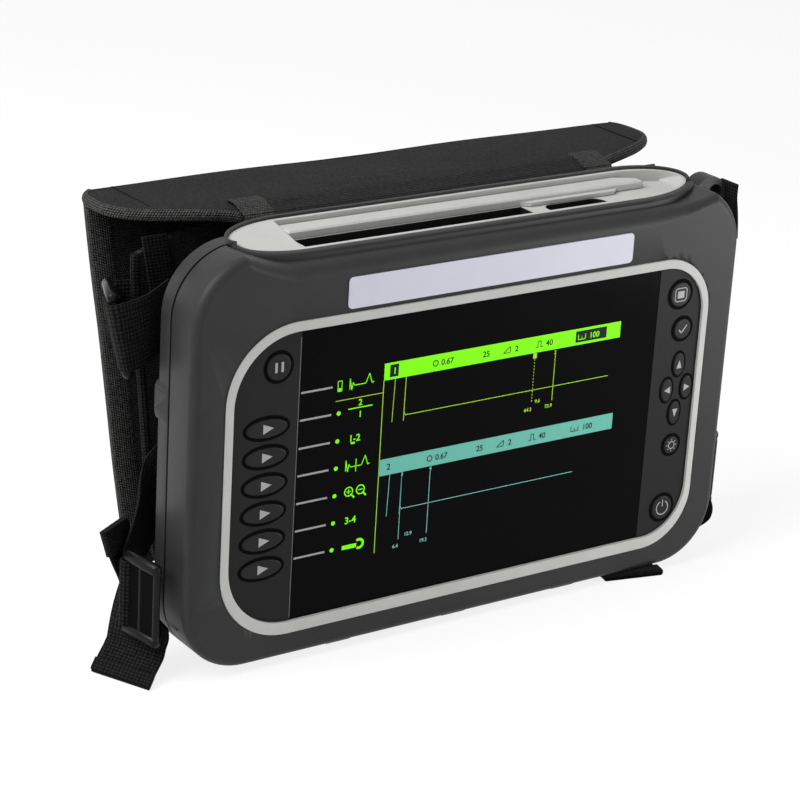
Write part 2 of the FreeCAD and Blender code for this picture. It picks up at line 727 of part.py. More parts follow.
# Sockets stand in a dark panel under the slot; the charge and data sockets share a second one.
sheet_z = panel_z - PANEL_SHEET
split_x = (SLOT_RIGHT + PORT_LEFT) / 2
terminal = box(tray_x0 + FIT, split_x - FIT, tray_y0 + FIT, tray_y1 - FIT, sheet_z, panel_z)
ports = box(split_x + FIT, tray_x1 - FIT, tray_y0 + FIT, tray_y1 - FIT, sheet_z, panel_z)
socket_top = panel_z + SOCKET_PROUD
socket_low = socket_top - SOCKET_LEN
sockets = []
for pair in (0, 1):
    for side in (-0.5, 0.5):
        x = SOCKET_X + PAIR_PITCH * pair + SOCKET_PITCH * side
        terminal = terminal.cut(rod(x, SOCKET_Y, sheet_z - 1, SOCKET_R, PANEL_SHEET + 2, UP))
        body = rod(x, SOCKET_Y, socket_low, SOCKET_R, SOCKET_LEN, UP)
        sockets.append(body.cut(rod(x, SOCKET_Y, socket_low + SOCKET_BASE, SOCKET_BORE, SOCKET_LEN, UP)))
save("terminal_panel", terminal)
save("test_sockets", Part.makeCompound(sockets))
port_y = (SLOT_FRONT + PORT_BACK) / 2
port_top = panel_z + PORT_PROUD
port_low = port_top - PORT_LEN
charge = rod(CHARGE_X, port_y, port_low, CHARGE_R, PORT_LEN, UP)
charge = charge.cut(rod(CHARGE_X, port_y, port_low + 2.0, CHARGE_BORE, PORT_LEN, UP))
charge = charge.fuse(rod(CHARGE_X, port_y, port_low, CHARGE_PIN, PORT_LEN - 1.0, UP))
x0 = DATA_X - DATA_W / 2
x1 = DATA_X + DATA_W / 2
y0 = port_y - DATA_D / 2
y1 = port_y + DATA_D / 2
w = DATA_WALL
data = box(x0, x1, y0, y1, port_low, port_top)
data = data.cut(box(x0 + w, x1 - w, y0 + w, y1 - w, port_low + 2.0, port_top + 1))
ports = ports.cut(rod(CHARGE_X, port_y, sheet_z - 1, CHARGE_R, PANEL_SHEET + 2, UP))
ports = ports.cut(box(x0, x1, y0, y1, sheet_z - 1, panel_z + 1))
save("port_panel", ports)
save("charge_socket", charge)
save("data_socket", data)

# Sliding shutter: a bar along the back of the slot, an angled right end and a stepped tab.
shutter_z = bay_deck + SLIDE
shutter_back = SHUTTER_FRONT + SHUTTER_W
shutter = sheet([
    V(SHUTTER_LEFT, SHUTTER_FRONT, shutter_z),
    V(SHUTTER_RIGHT, SHUTTER_FRONT, shutter_z),
    V(SHUTTER_RIGHT, shutter_back - SHUTTER_W / 2, shutter_z),
    V(SHUTTER_RIGHT - SHUTTER_CUT, shutter_back, shutter_z),
    V(SHUTTER_LEFT, shutter_back, shutter_z),
]).extrude(V(0, 0, SHUTTER_T))
shutter_top = shutter_z + SHUTTER_T
shutter = shutter.makeChamfer(SHUTTER_EDGE, [e for e in shutter.Edges if e.BoundBox.ZMin > shutter_top - 0.01])
tab_front = SHUTTER_FRONT - TAB_OUT
tab = sheet([
    V(SLOT_RIGHT, SHUTTER_FRONT, shutter_z),
    V(SLOT_RIGHT + TAB_OUT + 1, tab_front, shutter_z),
    V(SLOT_RIGHT + TAB_LEN - TAB_OUT - 1, tab_front, shutter_z),
    V(SLOT_RIGHT + TAB_LEN, SHUTTER_FRONT, shutter_z),
]).extrude(V(0, 0, TAB_T))
save("shutter", shutter.fuse(tab))


def cloth(top_half, low_half, top_z, low_z, top_y, low_y, r):
    """A tapered cloth panel, leaning when its two ends have different depths."""

    def loop(shift):
        corners = [V(-top_half, top_y + shift, top_z), V(top_half, top_y + shift, top_z)]
        corners += [V(low_half, low_y + shift, low_z), V(-low_half, low_y + shift, low_z)]
        return Part.makePolygon(corners + corners[:1])

    solid = Part.makeLoft([loop(0), loop(CLOTH_T)], True, True)
    ends = [e for e in solid.Edges if e.BoundBox.XLength < 0.01 and e.BoundBox.ZLength < 0.01]
    return solid.makeFillet(r, ends)


# Soft back panel, the webbing sewn to its front and the neck that carries the cover.
panel_top = body_top - PANEL_TOP_DROP
back_panel = cloth(PANEL_TOP_HALF, PANEL_LOW_HALF, panel_top, PANEL_LOW_Z, cloth_y, cloth_y, PANEL_R)
save("case_back_panel", back_panel)
web_y = cloth_y - SEW - WEB_T
strip = sheet([
    V(-PANEL_TOP_HALF + 3.0, web_y, panel_top - 2.0),
    V(-PANEL_TOP_HALF + 16.0, web_y, panel_top - 2.0),
    V(-PANEL_TOP_HALF + 23.0, web_y, panel_top - 44.0),
    V(-PANEL_TOP_HALF + 12.0, web_y, panel_top - 44.0),
]).extrude(V(0, WEB_T, 0))
save("panel_webbing", Part.makeCompound([strip, mirrored(strip)]))
neck_x = -NECK_HALF
neck_top = roof_low - 2 * SLIDE
neck = sheet([
    V(neck_x, cloth_back, panel_top - 6.0),
    V(neck_x, cloth_back + NECK_T, panel_top - 6.0),
    V(neck_x, cloth_back + NECK_T, panel_top + NECK_RISE),
    V(neck_x, HINGE_Y + 2.2, neck_top),
    V(neck_x, HINGE_Y - 1.6, neck_top),
    V(neck_x, cloth_y, panel_top),
    V(neck_x, cloth_back, panel_top),
]).extrude(V(2 * NECK_HALF, 0, 0))
save("cover_neck", neck)

# Roof of the cover: a straight neck edge, swept shoulders and rounded outer corners.
roof_back = ROOF_FRONT + ROOF_DEPTH
shoulder = [
    V(NECK_HALF, ROOF_FRONT, roof_low),
    V(ROOF_HALF - 25.5, ROOF_FRONT + 6.5, roof_low),
    V(ROOF_HALF - 10.5, ROOF_FRONT + 16.5, roof_low),
    V(ROOF_HALF - 2.5, ROOF_FRONT + 29.5, roof_low),
    V(ROOF_HALF, roof_back - 11.0, roof_low),
    V(ROOF_HALF - 1.5, roof_back - 4.5, roof_low),
    V(ROOF_HALF - 6.0, roof_back, roof_low),
]
roof = sheet(shoulder + [V(-p.x, p.y, p.z) for p in reversed(shoulder)]).extrude(V(0, 0, CLOTH_T))
hinge_z = fold_z + HINGE_UP
roof = roof.fuse(Part.makeCylinder(ROLL_R, 2 * NECK_HALF, V(-NECK_HALF, HINGE_Y, hinge_z), ACROSS))
fold_half = ROOF_HALF - 6.0
roof = roof.fuse(Part.makeCylinder(FOLD_R, 2 * fold_half, V(-fold_half, FOLD_Y, fold_z), ACROSS))
save("cover_top", roof)
fold_front = FOLD_Y - CLOTH_T / 2
flap_top = roof_low - FRONT_GAP
flap = cloth(FRONT_TOP_HALF, FRONT_LOW_HALF, flap_top, FRONT_LOW_Z, fold_front, fold_front - FRONT_LEAN, FRONT_R)
save("cover_front", flap)


def glide(spot, turn, lean):
    """A three-bar slide that stands beside the case, turned about Z and leaning outward."""
    plate = slab(-GLIDE_W / 2, GLIDE_W / 2, -GLIDE_H / 2, GLIDE_H / 2, GLIDE_R, GLIDE_R, -GLIDE_T / 2, GLIDE_T / 2)
    for side in (-1, 1):
        x = side * (GLIDE_BAR + GLIDE_SLOT) / 2
        half_h = GLIDE_SLOT_H / 2
        plate = plate.cut(box(x - GLIDE_SLOT / 2, x + GLIDE_SLOT / 2, -GLIDE_T, GLIDE_T, -half_h, half_h))
    plate = plate.rotated(V(0, 0, 0), UP, 90)
    plate = plate.rotated(V(0, 0, 0), AHEAD, -lean)
    plate = plate.rotated(V(0, 0, 0), UP, turn)
    return plate.translated(spot)


def place(spot, turn, lean, out, along, rise=0.0):
    """A point given by its distances from the middle of a slide."""
    a = math.radians(turn)
    b = math.radians(lean)
    x = out * math.cos(b) - rise * math.sin(b)
    z = out * math.sin(b) + rise * math.cos(b)
    return spot + V(x * math.cos(a) - along * math.sin(a), x * math.sin(a) + along * math.cos(a), z)


def threaded(spot, turn, lean):
    """Middle line of webbing woven over the centre bar of a slide, and its width directions."""
    out = GLIDE_T / 2 + SLIDE + WEB_T / 2
    near = GLIDE_BAR / 2 + 0.4
    wide = GLIDE_BAR / 2 + GLIDE_SLOT - 0.3
    line = [place(spot, turn, lean, *p) for p in ((out, -wide), (-out, -near), (-out, near), (out, wide))]
    return line, [place(spot, turn, lean, 0, 0, 1) - spot] * 4


# Upper straps: out from the case side, through a three-bar slide, back round the panel's edge.
UPPER = V(-BODY_HALF - 7.6, back_y - 5.0, 146.2)
UPPER_LEAN = 12.0
side_x = -BODY_HALF
upper_z = UPPER.z
panel_back_y = cloth_back + SEW + WEB_T / 2
first = [V(side_x + 1.6, full_y + 3.2, upper_z), V(side_x - 1.6, full_y + 6.6, upper_z)]
first.append(V(side_x - 3.4, full_y + 9.8, upper_z))
last = [
    V(side_x - 2.4, panel_back_y + 2.2, upper_z),
    V(side_x + 0.4, panel_back_y + 3.0, upper_z),
    V(side_x + 3.8, panel_back_y + 1.2, upper_z),
    V(side_x + 7.0, panel_back_y + 0.1, upper_z),
    V(side_x + 16.0, panel_back_y, upper_z),
]
weave, tilt = threaded(UPPER, 0, UPPER_LEAN)
half_tilt = V(-0.1, 0, 1)
full_tilt = tilt[0]
strap = ribbon(first + weave + last, [UP, half_tilt, full_tilt] + tilt + [full_tilt, half_tilt, UP, UP, UP])
upper_glide = glide(UPPER, 0, UPPER_LEAN)
save("strap_upper_left", strap)
save("slide_upper_left", upper_glide)
save("strap_upper_right", mirrored(strap))
save("slide_upper_right", mirrored(upper_glide))

# Webbing from the corner eye, hanging down the right side.
hang_x = eye_x + EYE_R + WEB_T / 2 + SLIDE
hang = [V(0, 2, 7), V(0, 2, 0), V(2.8, 2, -6), V(5.6, 2.2, -13), V(6.0, 3, -22), V(5.2, 4, -28)]
hang_points = [V(hang_x + p.x, p.y, eye_z + p.z) for p in hang]
hang_across = [AHEAD, AHEAD, AHEAD, V(0, 1, 0.03), V(0, 1, 0.06), V(0, 1, 0.1)]
save("eye_webbing", ribbon(hang_points, hang_across, EYE_WEB_W))

# Lower straps: from between the case and the panel to a slide beside the case, then a free tail.
LOW_LEFT = V(side_x - 11.0, FACE_Y + 18.5, 36.0)
LEFT_TURN = 25.8
LOW_RIGHT = V(side_x - 10.5, full_y, 38.5)
RIGHT_TURN = -18.0
slot_y = back_y + PANEL_GAP / 2


def low_strap(spot, turn):
    """The strap that comes round the case's back corner and weaves through its slide."""
    line, sides = threaded(spot, turn, 0)
    enter = line[-1]
    bend = V(side_x + 15.0, slot_y - 1.8, 66.5)
    points = [V(side_x + 40.0, slot_y, 91.0), V(side_x + 29.0, slot_y, 81.0), bend]
    points += [bend + (enter - bend) * 0.4, bend + (enter - bend) * 0.72]
    across = [V(-0.94, 0, 0.34), V(-0.94, 0, 0.34), V(-0.54, -0.15, 0.8), V(-0.27, -0.2, 0.94), V(-0.1, -0.1, 1)]
    return band([spread(p, w) for p, w in zip(points + line[::-1], across + sides)])


def tail(spot, turn, drift, points, across):
    """The free end, flat against the inner side of the slide and then down to the floor."""
    out = GLIDE_T / 2 + SLIDE + WEB_T * 1.4
    top = [place(spot, turn, 0, out, drift / 3, -8.0), place(spot, turn, 0, out, drift, -GLIDE_H / 2 - 1.5)]
    wide = place(spot, turn, 0, 0, -1) - spot
    return band([spread(p, w) for p, w in zip(top + points, [wide, wide] + across)])


left_points = [V(side_x - 11.3, -4.3, 10.5), V(side_x - 16.0, -6.2, 5.0), V(side_x - 21.0, -10.0, 0.8)]
left_across = [V(0.435, -0.9, 0)] * 3
stub = band([
    (LOW_LEFT + V(0.6, 11.3, -12.0), LOW_LEFT + V(0.6, 11.3, 15.0)),
    (LOW_LEFT + V(-2.0, 14.0, 1.0), LOW_LEFT + V(-3.5, 14.0, 29.5)),
    (LOW_LEFT + V(-7.0, 15.5, 13.3), LOW_LEFT + V(-10.7, 15.5, 26.5)),
])
left_tail = tail(LOW_LEFT, LEFT_TURN, 4.5, left_points, left_across)
left_strap = low_strap(LOW_LEFT, LEFT_TURN).fuse(left_tail).fuse(stub)
save("strap_lower_left", left_strap)
save("slide_lower_left", glide(LOW_LEFT, LEFT_TURN, 0))
right_points = [
    V(side_x - 6.0, 0.5, 12.5),
    V(side_x - 2.0, 4.5, 7.8),
    V(side_x + 5.5, 9.0, 4.2),
    V(side_x + 16.0, 11.0, 1.9),
    V(side_x + 27.0, 9.0, 1.0),
    V(side_x + 36.0, 0.5, 0.9),
    V(side_x + 42.0, -12.0, 0.9),
    V(side_x + 45.8, -28.8, 0.9),
]
right_across = [
    V(-0.3, -0.95, 0),
    V(-0.2, -1, 0),
    V(-0.1, -1, 0),
    V(-0.1, -1, 0),
    V(-0.47, -0.88, 0),
    V(-0.81, -0.58, 0),
    V(-0.95, -0.32, 0),
    V(-0.975, -0.22, 0),
]
right_tail = tail(LOW_RIGHT, RIGHT_TURN, 0, right_points, right_across)
right_strap = low_strap(LOW_RIGHT, RIGHT_TURN).fuse(right_tail)
save("strap_lower_right", mirrored(right_strap))
save("slide_lower_right", mirrored(glide(LOW_RIGHT, RIGHT_TURN, 0)))
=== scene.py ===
# %% [markdown]
# # A cable-fault locator strapped to its soft case
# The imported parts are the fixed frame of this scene. The ring, the keys and the terminal bay are
# already the right shape, so they only need finishes, and the two shells of the case are eased in
# a few places. Everything made of cloth or webbing is modelled here again, because a plain solid
# never looks like fabric.

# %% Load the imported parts
import json
import math

import bmesh
import bpy
from mathutils import Matrix, Vector
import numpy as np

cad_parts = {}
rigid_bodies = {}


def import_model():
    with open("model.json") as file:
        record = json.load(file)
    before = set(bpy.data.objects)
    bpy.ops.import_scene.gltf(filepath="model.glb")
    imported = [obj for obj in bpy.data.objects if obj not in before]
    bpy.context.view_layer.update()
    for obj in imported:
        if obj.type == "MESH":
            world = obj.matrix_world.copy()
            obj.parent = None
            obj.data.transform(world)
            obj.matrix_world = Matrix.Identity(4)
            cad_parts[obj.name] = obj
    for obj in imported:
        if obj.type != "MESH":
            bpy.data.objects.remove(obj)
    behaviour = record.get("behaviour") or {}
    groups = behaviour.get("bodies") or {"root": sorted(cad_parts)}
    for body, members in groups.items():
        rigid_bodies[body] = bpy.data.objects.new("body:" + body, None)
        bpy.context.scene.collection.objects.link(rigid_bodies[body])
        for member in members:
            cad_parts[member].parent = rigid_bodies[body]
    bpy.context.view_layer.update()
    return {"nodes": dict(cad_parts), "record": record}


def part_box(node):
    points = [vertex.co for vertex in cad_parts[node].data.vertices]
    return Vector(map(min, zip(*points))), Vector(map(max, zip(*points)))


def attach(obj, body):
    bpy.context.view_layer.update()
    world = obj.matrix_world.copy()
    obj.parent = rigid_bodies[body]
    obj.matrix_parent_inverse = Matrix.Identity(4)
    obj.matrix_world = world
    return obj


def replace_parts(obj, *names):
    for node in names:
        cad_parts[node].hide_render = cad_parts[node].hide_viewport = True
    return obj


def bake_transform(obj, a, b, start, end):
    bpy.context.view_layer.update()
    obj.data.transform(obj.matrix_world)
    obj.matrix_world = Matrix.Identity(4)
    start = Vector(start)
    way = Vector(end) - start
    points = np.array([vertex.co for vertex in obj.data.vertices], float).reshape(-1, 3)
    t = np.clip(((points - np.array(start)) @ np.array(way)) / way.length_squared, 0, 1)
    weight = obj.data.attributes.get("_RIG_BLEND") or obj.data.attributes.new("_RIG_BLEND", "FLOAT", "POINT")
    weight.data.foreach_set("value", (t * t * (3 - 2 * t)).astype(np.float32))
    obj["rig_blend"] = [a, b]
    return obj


for leftover in list(bpy.data.objects):
    bpy.data.objects.remove(leftover)
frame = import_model()
nodes = frame["nodes"]
scene = bpy.context.scene
MM = 0.001
CASE = "instrument"

# %% [markdown]
# ## Camera
# A long lens stands to the left of the display and a little above it. The three angles and the
# camera's place were solved from the edges of the face, so the model lands on the photograph. The
# camera's matrix is built from those angles, because tracking a target would lose the roll.

# %% Camera
VIEW_TURN = 35.337
VIEW_DIP = 20.957
VIEW_ROLL = 3.458
CAMERA_SPOT = (-664.6, -906.4, 525.8)


def mm(x, y, z):
    """A point given in millimetres."""
    return Vector((x, y, z)) * MM


upright = Matrix(((1, 0, 0), (0, 0, -1), (0, 1, 0)))
spin = Matrix.Rotation(math.radians(VIEW_TURN), 3, "Z")
dip = Matrix.Rotation(math.radians(VIEW_DIP), 3, "X")
roll = Matrix.Rotation(math.radians(VIEW_ROLL), 3, "Z")
facing = (roll @ dip @ upright @ spin).transposed() @ Matrix.Diagonal((1, -1, -1))
lens = bpy.data.cameras.new("display_view")
lens.lens = 121.5
lens.sensor_width = 36.0
lens.clip_start = 0.05
lens.clip_end = 30.0
camera = bpy.data.objects.new("display_view", lens)
camera.matrix_world = Matrix.Translation(mm(*CAMERA_SPOT)) @ facing.to_4x4()
scene.collection.objects.link(camera)
bpy.context.scene.camera = camera
print("camera looks along", [round(v, 3) for v in -facing.col[2]])

# %% [markdown]
# ## White surroundings
# The object was shot on white paper under big soft lamps. The world gives an even fill, while the
# camera and the reflections see plain white. The two are split by the kind of ray, so the fill can
# stay at a plain level for the dark rubber and cloth. Two helpers make the nodes: where a value is
# a socket they link it, and where it is a number they set it.

# %% White surroundings
WHITE = (1.0, 1.0, 1.0, 1.0)
FILL = 0.34
scene.view_settings.view_transform = "Standard"


def node_of(tree, kind, **values):
    """A new node with some of its sockets linked or set, or its settings set, by name."""
    made = tree.nodes.new(kind)
    for key, value in values.items():
        if isinstance(value, bpy.types.NodeSocket):
            tree.links.new(value, made.inputs[key])
        elif key in made.inputs:
            made.inputs[key].default_value = value
        else:
            setattr(made, key, value)
    return made


def maths(tree, operation, *values):
    """The result of a maths node fed with sockets or plain numbers."""
    made = node_of(tree, "ShaderNodeMath", operation=operation)
    for socket, value in zip(made.inputs, values):
        if isinstance(value, bpy.types.NodeSocket):
            tree.links.new(value, socket)
        else:
            socket.default_value = value
    return made.outputs[0]


def seen_directly(tree):
    """A value that is 1 for what the camera, a reflection or a glass ray sees."""
    path = node_of(tree, "ShaderNodeLightPath").outputs
    either = maths(tree, "MAXIMUM", path["Is Camera Ray"], path["Is Glossy Ray"])
    return maths(tree, "MAXIMUM", either, path["Is Transmission Ray"])


def mixed(tree, share, first, second, end):
    """Mixes two shaders and sends the mix to the end of the tree."""
    mix = tree.nodes.new("ShaderNodeMixShader")
    for value, socket in zip((share, first.outputs[0], second.outputs[0]), mix.inputs):
        tree.links.new(value, socket)
    tree.links.new(mix.outputs[0], tree.nodes[end].inputs["Surface"])


world = bpy.data.worlds.new("studio")
scene.world = world
world.use_nodes = True
sky = world.node_tree
fill = sky.nodes["Background"]
fill.inputs["Color"].default_value = WHITE
fill.inputs["Strength"].default_value = FILL
white = node_of(sky, "ShaderNodeBackground", Color=WHITE, Strength=1.0)
mixed(sky, seen_directly(sky), fill, white, "World Output")
print("white surroundings, with a fill of", FILL)

# %% [markdown]
# ## Paper floor
# A wide sheet of white paper carries the object and takes a weak shadow. It is a plain grid with a
# matt finish. In what is seen directly a glow is mixed in, so the paper looks white in the picture
# without more light on the object.

# %% Paper floor
PAPER_LIFT = 0.8
PAPER_GLOW = 1.03
FLOOR_HALF = 4.0


def material(name, sockets):
    """A new material, its tree and its shader, with some of the shader's sockets set."""
    made = bpy.data.materials.new(name)
    made.use_nodes = True
    shader = made.node_tree.nodes["Principled BSDF"]
    for socket, value in sockets.items():
        shader.inputs[socket].default_value = value
    return made, made.node_tree, shader


def placed(name, shape, finish):
    """Makes an object of a bmesh."""
    data = bpy.data.meshes.new(name)
    shape.to_mesh(data)
    shape.free()
    data.materials.append(finish)
    made = bpy.data.objects.new(name, data)
    scene.collection.objects.link(made)
    return made


matt = {"Base Color": (0.9, 0.9, 0.9, 1.0), "Roughness": 0.9, "Specular IOR Level": 0.1}
paper, tree, shader = material("white_paper", matt)
glow = node_of(tree, "ShaderNodeEmission", Strength=PAPER_GLOW)
mixed(tree, maths(tree, "MULTIPLY", seen_directly(tree), PAPER_LIFT), shader, glow, "Material Output")
floor_shape = bmesh.new()
bmesh.ops.create_grid(floor_shape, x_segments=2, y_segments=2, size=FLOOR_HALF)
floor = placed("paper_floor", floor_shape, paper)
print("floor", 2 * FLOOR_HALF, "m wide")

# %% [markdown]
# ## Lamps
# A big lamp high on the left gives the side of the case its light, a weak one hangs above, and a
# small one stands low on the right and lifts the right end of the face. The left lamp is high
# enough that the top of the case doesn't mirror it in a low view from the right.


# %% Lamps
def softbox(name, spot, aim, size, watts):
    """A square lamp that faces a point."""
    lamp = bpy.data.lights.new(name, "AREA")
    lamp.size = size
    lamp.energy = watts
    holder = bpy.data.objects.new(name, lamp)
    holder.location = spot
    holder.rotation_mode = "QUATERNION"
    holder.rotation_quaternion = (aim - spot).to_track_quat("-Z", "Y")
    scene.collection.objects.link(holder)


softbox("lamp_left", Vector((-1.2, 0.04, 1.3)), mm(0, 0, 100), 1.2, 38.0)
softbox("lamp_above", Vector((0.1, 0.2, 1.8)), mm(0, 0, 100), 1.2, 4.0)
softbox("lamp_right", Vector((0.46, -0.36, 0.1)), mm(130, -27, 70), 0.3, 2.4)
print("three soft lamps")

# %% [markdown]
# ## Finishes for moulded parts
# Rubber and plastic mouldings carry the fine grain of their tool, and their colour drifts slightly
# with dust and handling. Both are made from noise on object coordinates: one very fine noise goes
# into the bump, one broad noise into colour and gloss. Numbers that are the same everywhere are
# set on the shader's own sockets.


# %% Finishes for moulded parts
def shade(colour, times=1.0):
    """A colour made lighter or darker, with an alpha of one."""
    return tuple(min(1.0, c * times) for c in colour) + (1.0,)


def ramp(tree, driver, *stops):
    """A colour read from a value, between two stops of place and colour."""
    made = node_of(tree, "ShaderNodeValToRGB", Fac=driver)
    for element, (place, colour) in zip(made.color_ramp.elements, stops):
        element.position = place
        element.color = colour
    return made.outputs["Color"]


def noise(tree, scale, detail, rough=0.5):
    """Noise on object coordinates."""
    where = node_of(tree, "ShaderNodeTexCoord").outputs["Object"]
    made = node_of(tree, "ShaderNodeTexNoise", Vector=where, Scale=scale, Detail=detail, Roughness=rough)
    return made.outputs["Fac"]


def feed(tree, shader, colour, height, strength, distance):
    """Links a colour to a shader, and a height by way of a bump."""
    bump = node_of(tree, "ShaderNodeBump", Height=height, Strength=strength, Distance=distance * MM)
    tree.links.new(colour, shader.inputs["Base Color"])
    tree.links.new(bump.outputs["Normal"], shader.inputs["Normal"])


def moulded(name, colour, rough, grain=0.35, depth=0.03, drift=0.12, gloss=0.5):
    """Moulded rubber or plastic: fine tool grain, a slow drift in colour and in gloss."""
    made, tree, shader = material(name, {"Specular IOR Level": gloss})
    broad = noise(tree, 38.0, 4.0, 0.6)
    tone = ramp(tree, broad, (0.3, shade(colour, 1.0 - drift)), (0.7, shade(colour, 1.0 + drift)))
    wear = node_of(tree, "ShaderNodeMapRange", Value=broad)
    wear.inputs["To Min"].default_value = max(0.02, rough - 0.06)
    wear.inputs["To Max"].default_value = rough + 0.08
    tree.links.new(wear.outputs["Result"], shader.inputs["Roughness"])
    feed(tree, shader, tone, noise(tree, 1.0 / (grain * MM), 2.0), 0.35, depth)
    return made


def metal(name, colour, rough):
    """Plated metal with a faint fine grain."""
    made = moulded(name, colour, rough, grain=0.2, depth=0.01, drift=0.08)
    made.node_tree.nodes["Principled BSDF"].inputs["Metallic"].default_value = 1.0
    return made


LIGHT_GREY = (0.42, 0.425, 0.41)
finishes = {
    "rubber_charcoal": moulded("soft_rubber", (0.021, 0.0213, 0.022), 0.44, 0.5, 0.05, gloss=0.16),
    "plastic_light_grey": moulded("light_grey_moulding", LIGHT_GREY, 0.6, drift=0.05, gloss=0.12),
    "plastic_dark_grey": moulded("key_panel_film", (0.011, 0.0112, 0.0117), 0.46, 0.3, gloss=0.09),
    "key_grey": moulded("key_cap", (0.011, 0.011, 0.0116), 0.36, 0.3, gloss=0.12),
    "window_black": moulded("window_gloss", (0.0016, 0.0016, 0.0018), 0.1, depth=0.0, drift=0.05,
                            gloss=0.03),
    "plastic_black": moulded("black_moulding", (0.015, 0.015, 0.016), 0.55, gloss=0.2),
    "silicone_black": moulded("key_mat_rubber", (0.0022, 0.0022, 0.0022), 0.7, gloss=0.02),
    "board_green": moulded("board_lacquer", (0.03, 0.16, 0.07), 0.35),
    "steel": metal("plated_steel", (0.55, 0.55, 0.56), 0.3),
    "socket_black": moulded("socket_shell", (0.012, 0.012, 0.012), 0.3, gloss=0.2),
    "label_white": moulded("label_film", (0.5, 0.505, 0.58), 0.4, depth=0.01, drift=0.02, gloss=0.2),
    "slide_black": moulded("slide_moulding", (0.005, 0.005, 0.0054), 0.26, depth=0.02, gloss=0.12),
}
subparts = {row["node"]: row["material_slot"] for row in frame["record"]["subparts"]}
for name, part in nodes.items():
    if subparts[name] in finishes:
        part.data.materials.clear()
        part.data.materials.append(finishes[subparts[name]])
for name in ("terminal_panel", "port_panel", "case_seal"):
    nodes[name].data.materials[0] = finishes["silicone_black"]
print("moulded finishes:", len(finishes))

# %% [markdown]
# ## Painted shade in the slot of the terminal bay
# The bay is one light grey moulding, but its slot is so deep and narrow that shade makes it look
# black. That shade is painted: the moulding's own colour is mixed to black below the level of the
# deck, by height.

# %% Painted shade in the slot of the terminal bay
DECK_Z = 183.4
SLOT_FADE = 0.3
SLOT_SHADE_COLOUR = (0.006, 0.006, 0.006, 1.0)
MIX_FIRST, MIX_SECOND, MIX_RESULT = 6, 7, 2


def shade_below_deck(made, level):
    """Paints shade on a finish: black below a level, as the shade in a deep slot looks."""
    tree = made.node_tree
    base = tree.nodes["Principled BSDF"].inputs["Base Color"]
    where = node_of(tree, "ShaderNodeTexCoord").outputs["Object"]
    height = node_of(tree, "ShaderNodeSeparateXYZ", Vector=where).outputs["Z"]
    rise = node_of(tree, "ShaderNodeMapRange", Value=height)
    rise.inputs["From Min"].default_value = (level - SLOT_FADE) * MM
    rise.inputs["From Max"].default_value = level * MM
    # Painted shade: the colour is mixed to black below the deck.
    mix = node_of(tree, "ShaderNodeMix", data_type="RGBA", Factor=rise.outputs["Result"])
    mix.inputs[MIX_FIRST].default_value = SLOT_SHADE_COLOUR
    tree.links.new(base.links[0].from_socket, mix.inputs[MIX_SECOND])
    tree.links.new(mix.outputs[MIX_RESULT], base)
    return made


bay_finish = moulded("bay_moulding", LIGHT_GREY, 0.6, drift=0.05, gloss=0.12)
nodes["terminal_bay"].data.materials[0] = shade_below_deck(bay_finish, DECK_Z)
print("bay is black below", DECK_Z, "mm")

# %% [markdown]
# ## Finishes for cloth and webbing
# The soft case is black woven nylon over foam, bound with ribbed tape, and the straps are coarser
# webbing. A weave can be drawn with two sine waves crossing on the piece's own UV map, which is
# kept in metres: where they multiply, each thread crossing becomes a small bump. The same height
# also lightens the tops of the threads and darkens the gaps between them, a painted highlight and
# painted shade, and two noises add dust and wear.

# %% Finishes for cloth and webbing
WEAVE = "weave"
CLOTH_SHADER = {"Roughness": 0.82, "Specular IOR Level": 0.06,
                "Sheen Weight": 0.015, "Sheen Roughness": 0.5}


def woven(name, dark, light, run, cross, depth, slant=0.0):
    """Woven thread with a pitch along the run and across it, in millimetres."""
    made, tree, shader = material(name, CLOTH_SHADER)

    def wave(way, pitch):
        return maths(tree, "SINE", maths(tree, "MULTIPLY", way, math.pi / (pitch * MM)))

    place = node_of(tree, "ShaderNodeUVMap", uv_map=WEAVE).outputs["UV"]
    way = node_of(tree, "ShaderNodeSeparateXYZ", Vector=place).outputs
    along = maths(tree, "ADD", way["X"], maths(tree, "MULTIPLY", way["Y"], slant))
    crossing = maths(tree, "MULTIPLY", wave(along, run), wave(way["Y"], cross))
    height = maths(tree, "ABSOLUTE", crossing)
    dust = maths(tree, "MULTIPLY", noise(tree, 60.0, 5.0, 0.65), 0.25)
    fleck = noise(tree, 620.0, 2.0, 0.7)
    wear = maths(tree, "ADD", dust, maths(tree, "MULTIPLY", fleck, 0.75))
    # Painted highlight on the tops of the threads and painted shade between them, with real dust and wear.
    wear_and_thread_shade = maths(tree, "ADD", maths(tree, "MULTIPLY", height, 0.6), maths(tree, "SUBTRACT", wear, 0.3))
    tone = ramp(tree, wear_and_thread_shade, (0.22, shade(dark)), (0.72, shade(light)))
    feed(tree, shader, tone, maths(tree, "ADD", height, maths(tree, "MULTIPLY", fleck, 0.7)), 1.0, depth)
    return made


cloth = woven("woven_nylon", (0.002, 0.002, 0.002), (0.031, 0.0303, 0.0303), 1.2, 1.2, 0.4, slant=0.5)
tape = woven("ribbed_tape", (0.003, 0.003, 0.0029), (0.088, 0.0855, 0.083), 1.2, 1.1, 0.5, slant=0.5)
webbing = woven("strap_webbing", (0.0012, 0.0012, 0.0012), (0.0145, 0.0142, 0.014), 1.5, 1.8, 0.5)
thread = woven("black_thread", (0.0008, 0.0008, 0.0008), (0.006, 0.006, 0.006), 2.6, 1.2, 0.3)
print("woven finishes:", [m.name for m in (cloth, tape, webbing, thread)])

# %% [markdown]
# ## Line of the hollow under the terminal bay
# The face's top edge is hollowed under the bay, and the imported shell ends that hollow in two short
# straight ramps. On the real moulding the hollow runs out gently to the tips of the bay. First the
# two lines are written down as heights over x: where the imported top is, and where it should be.

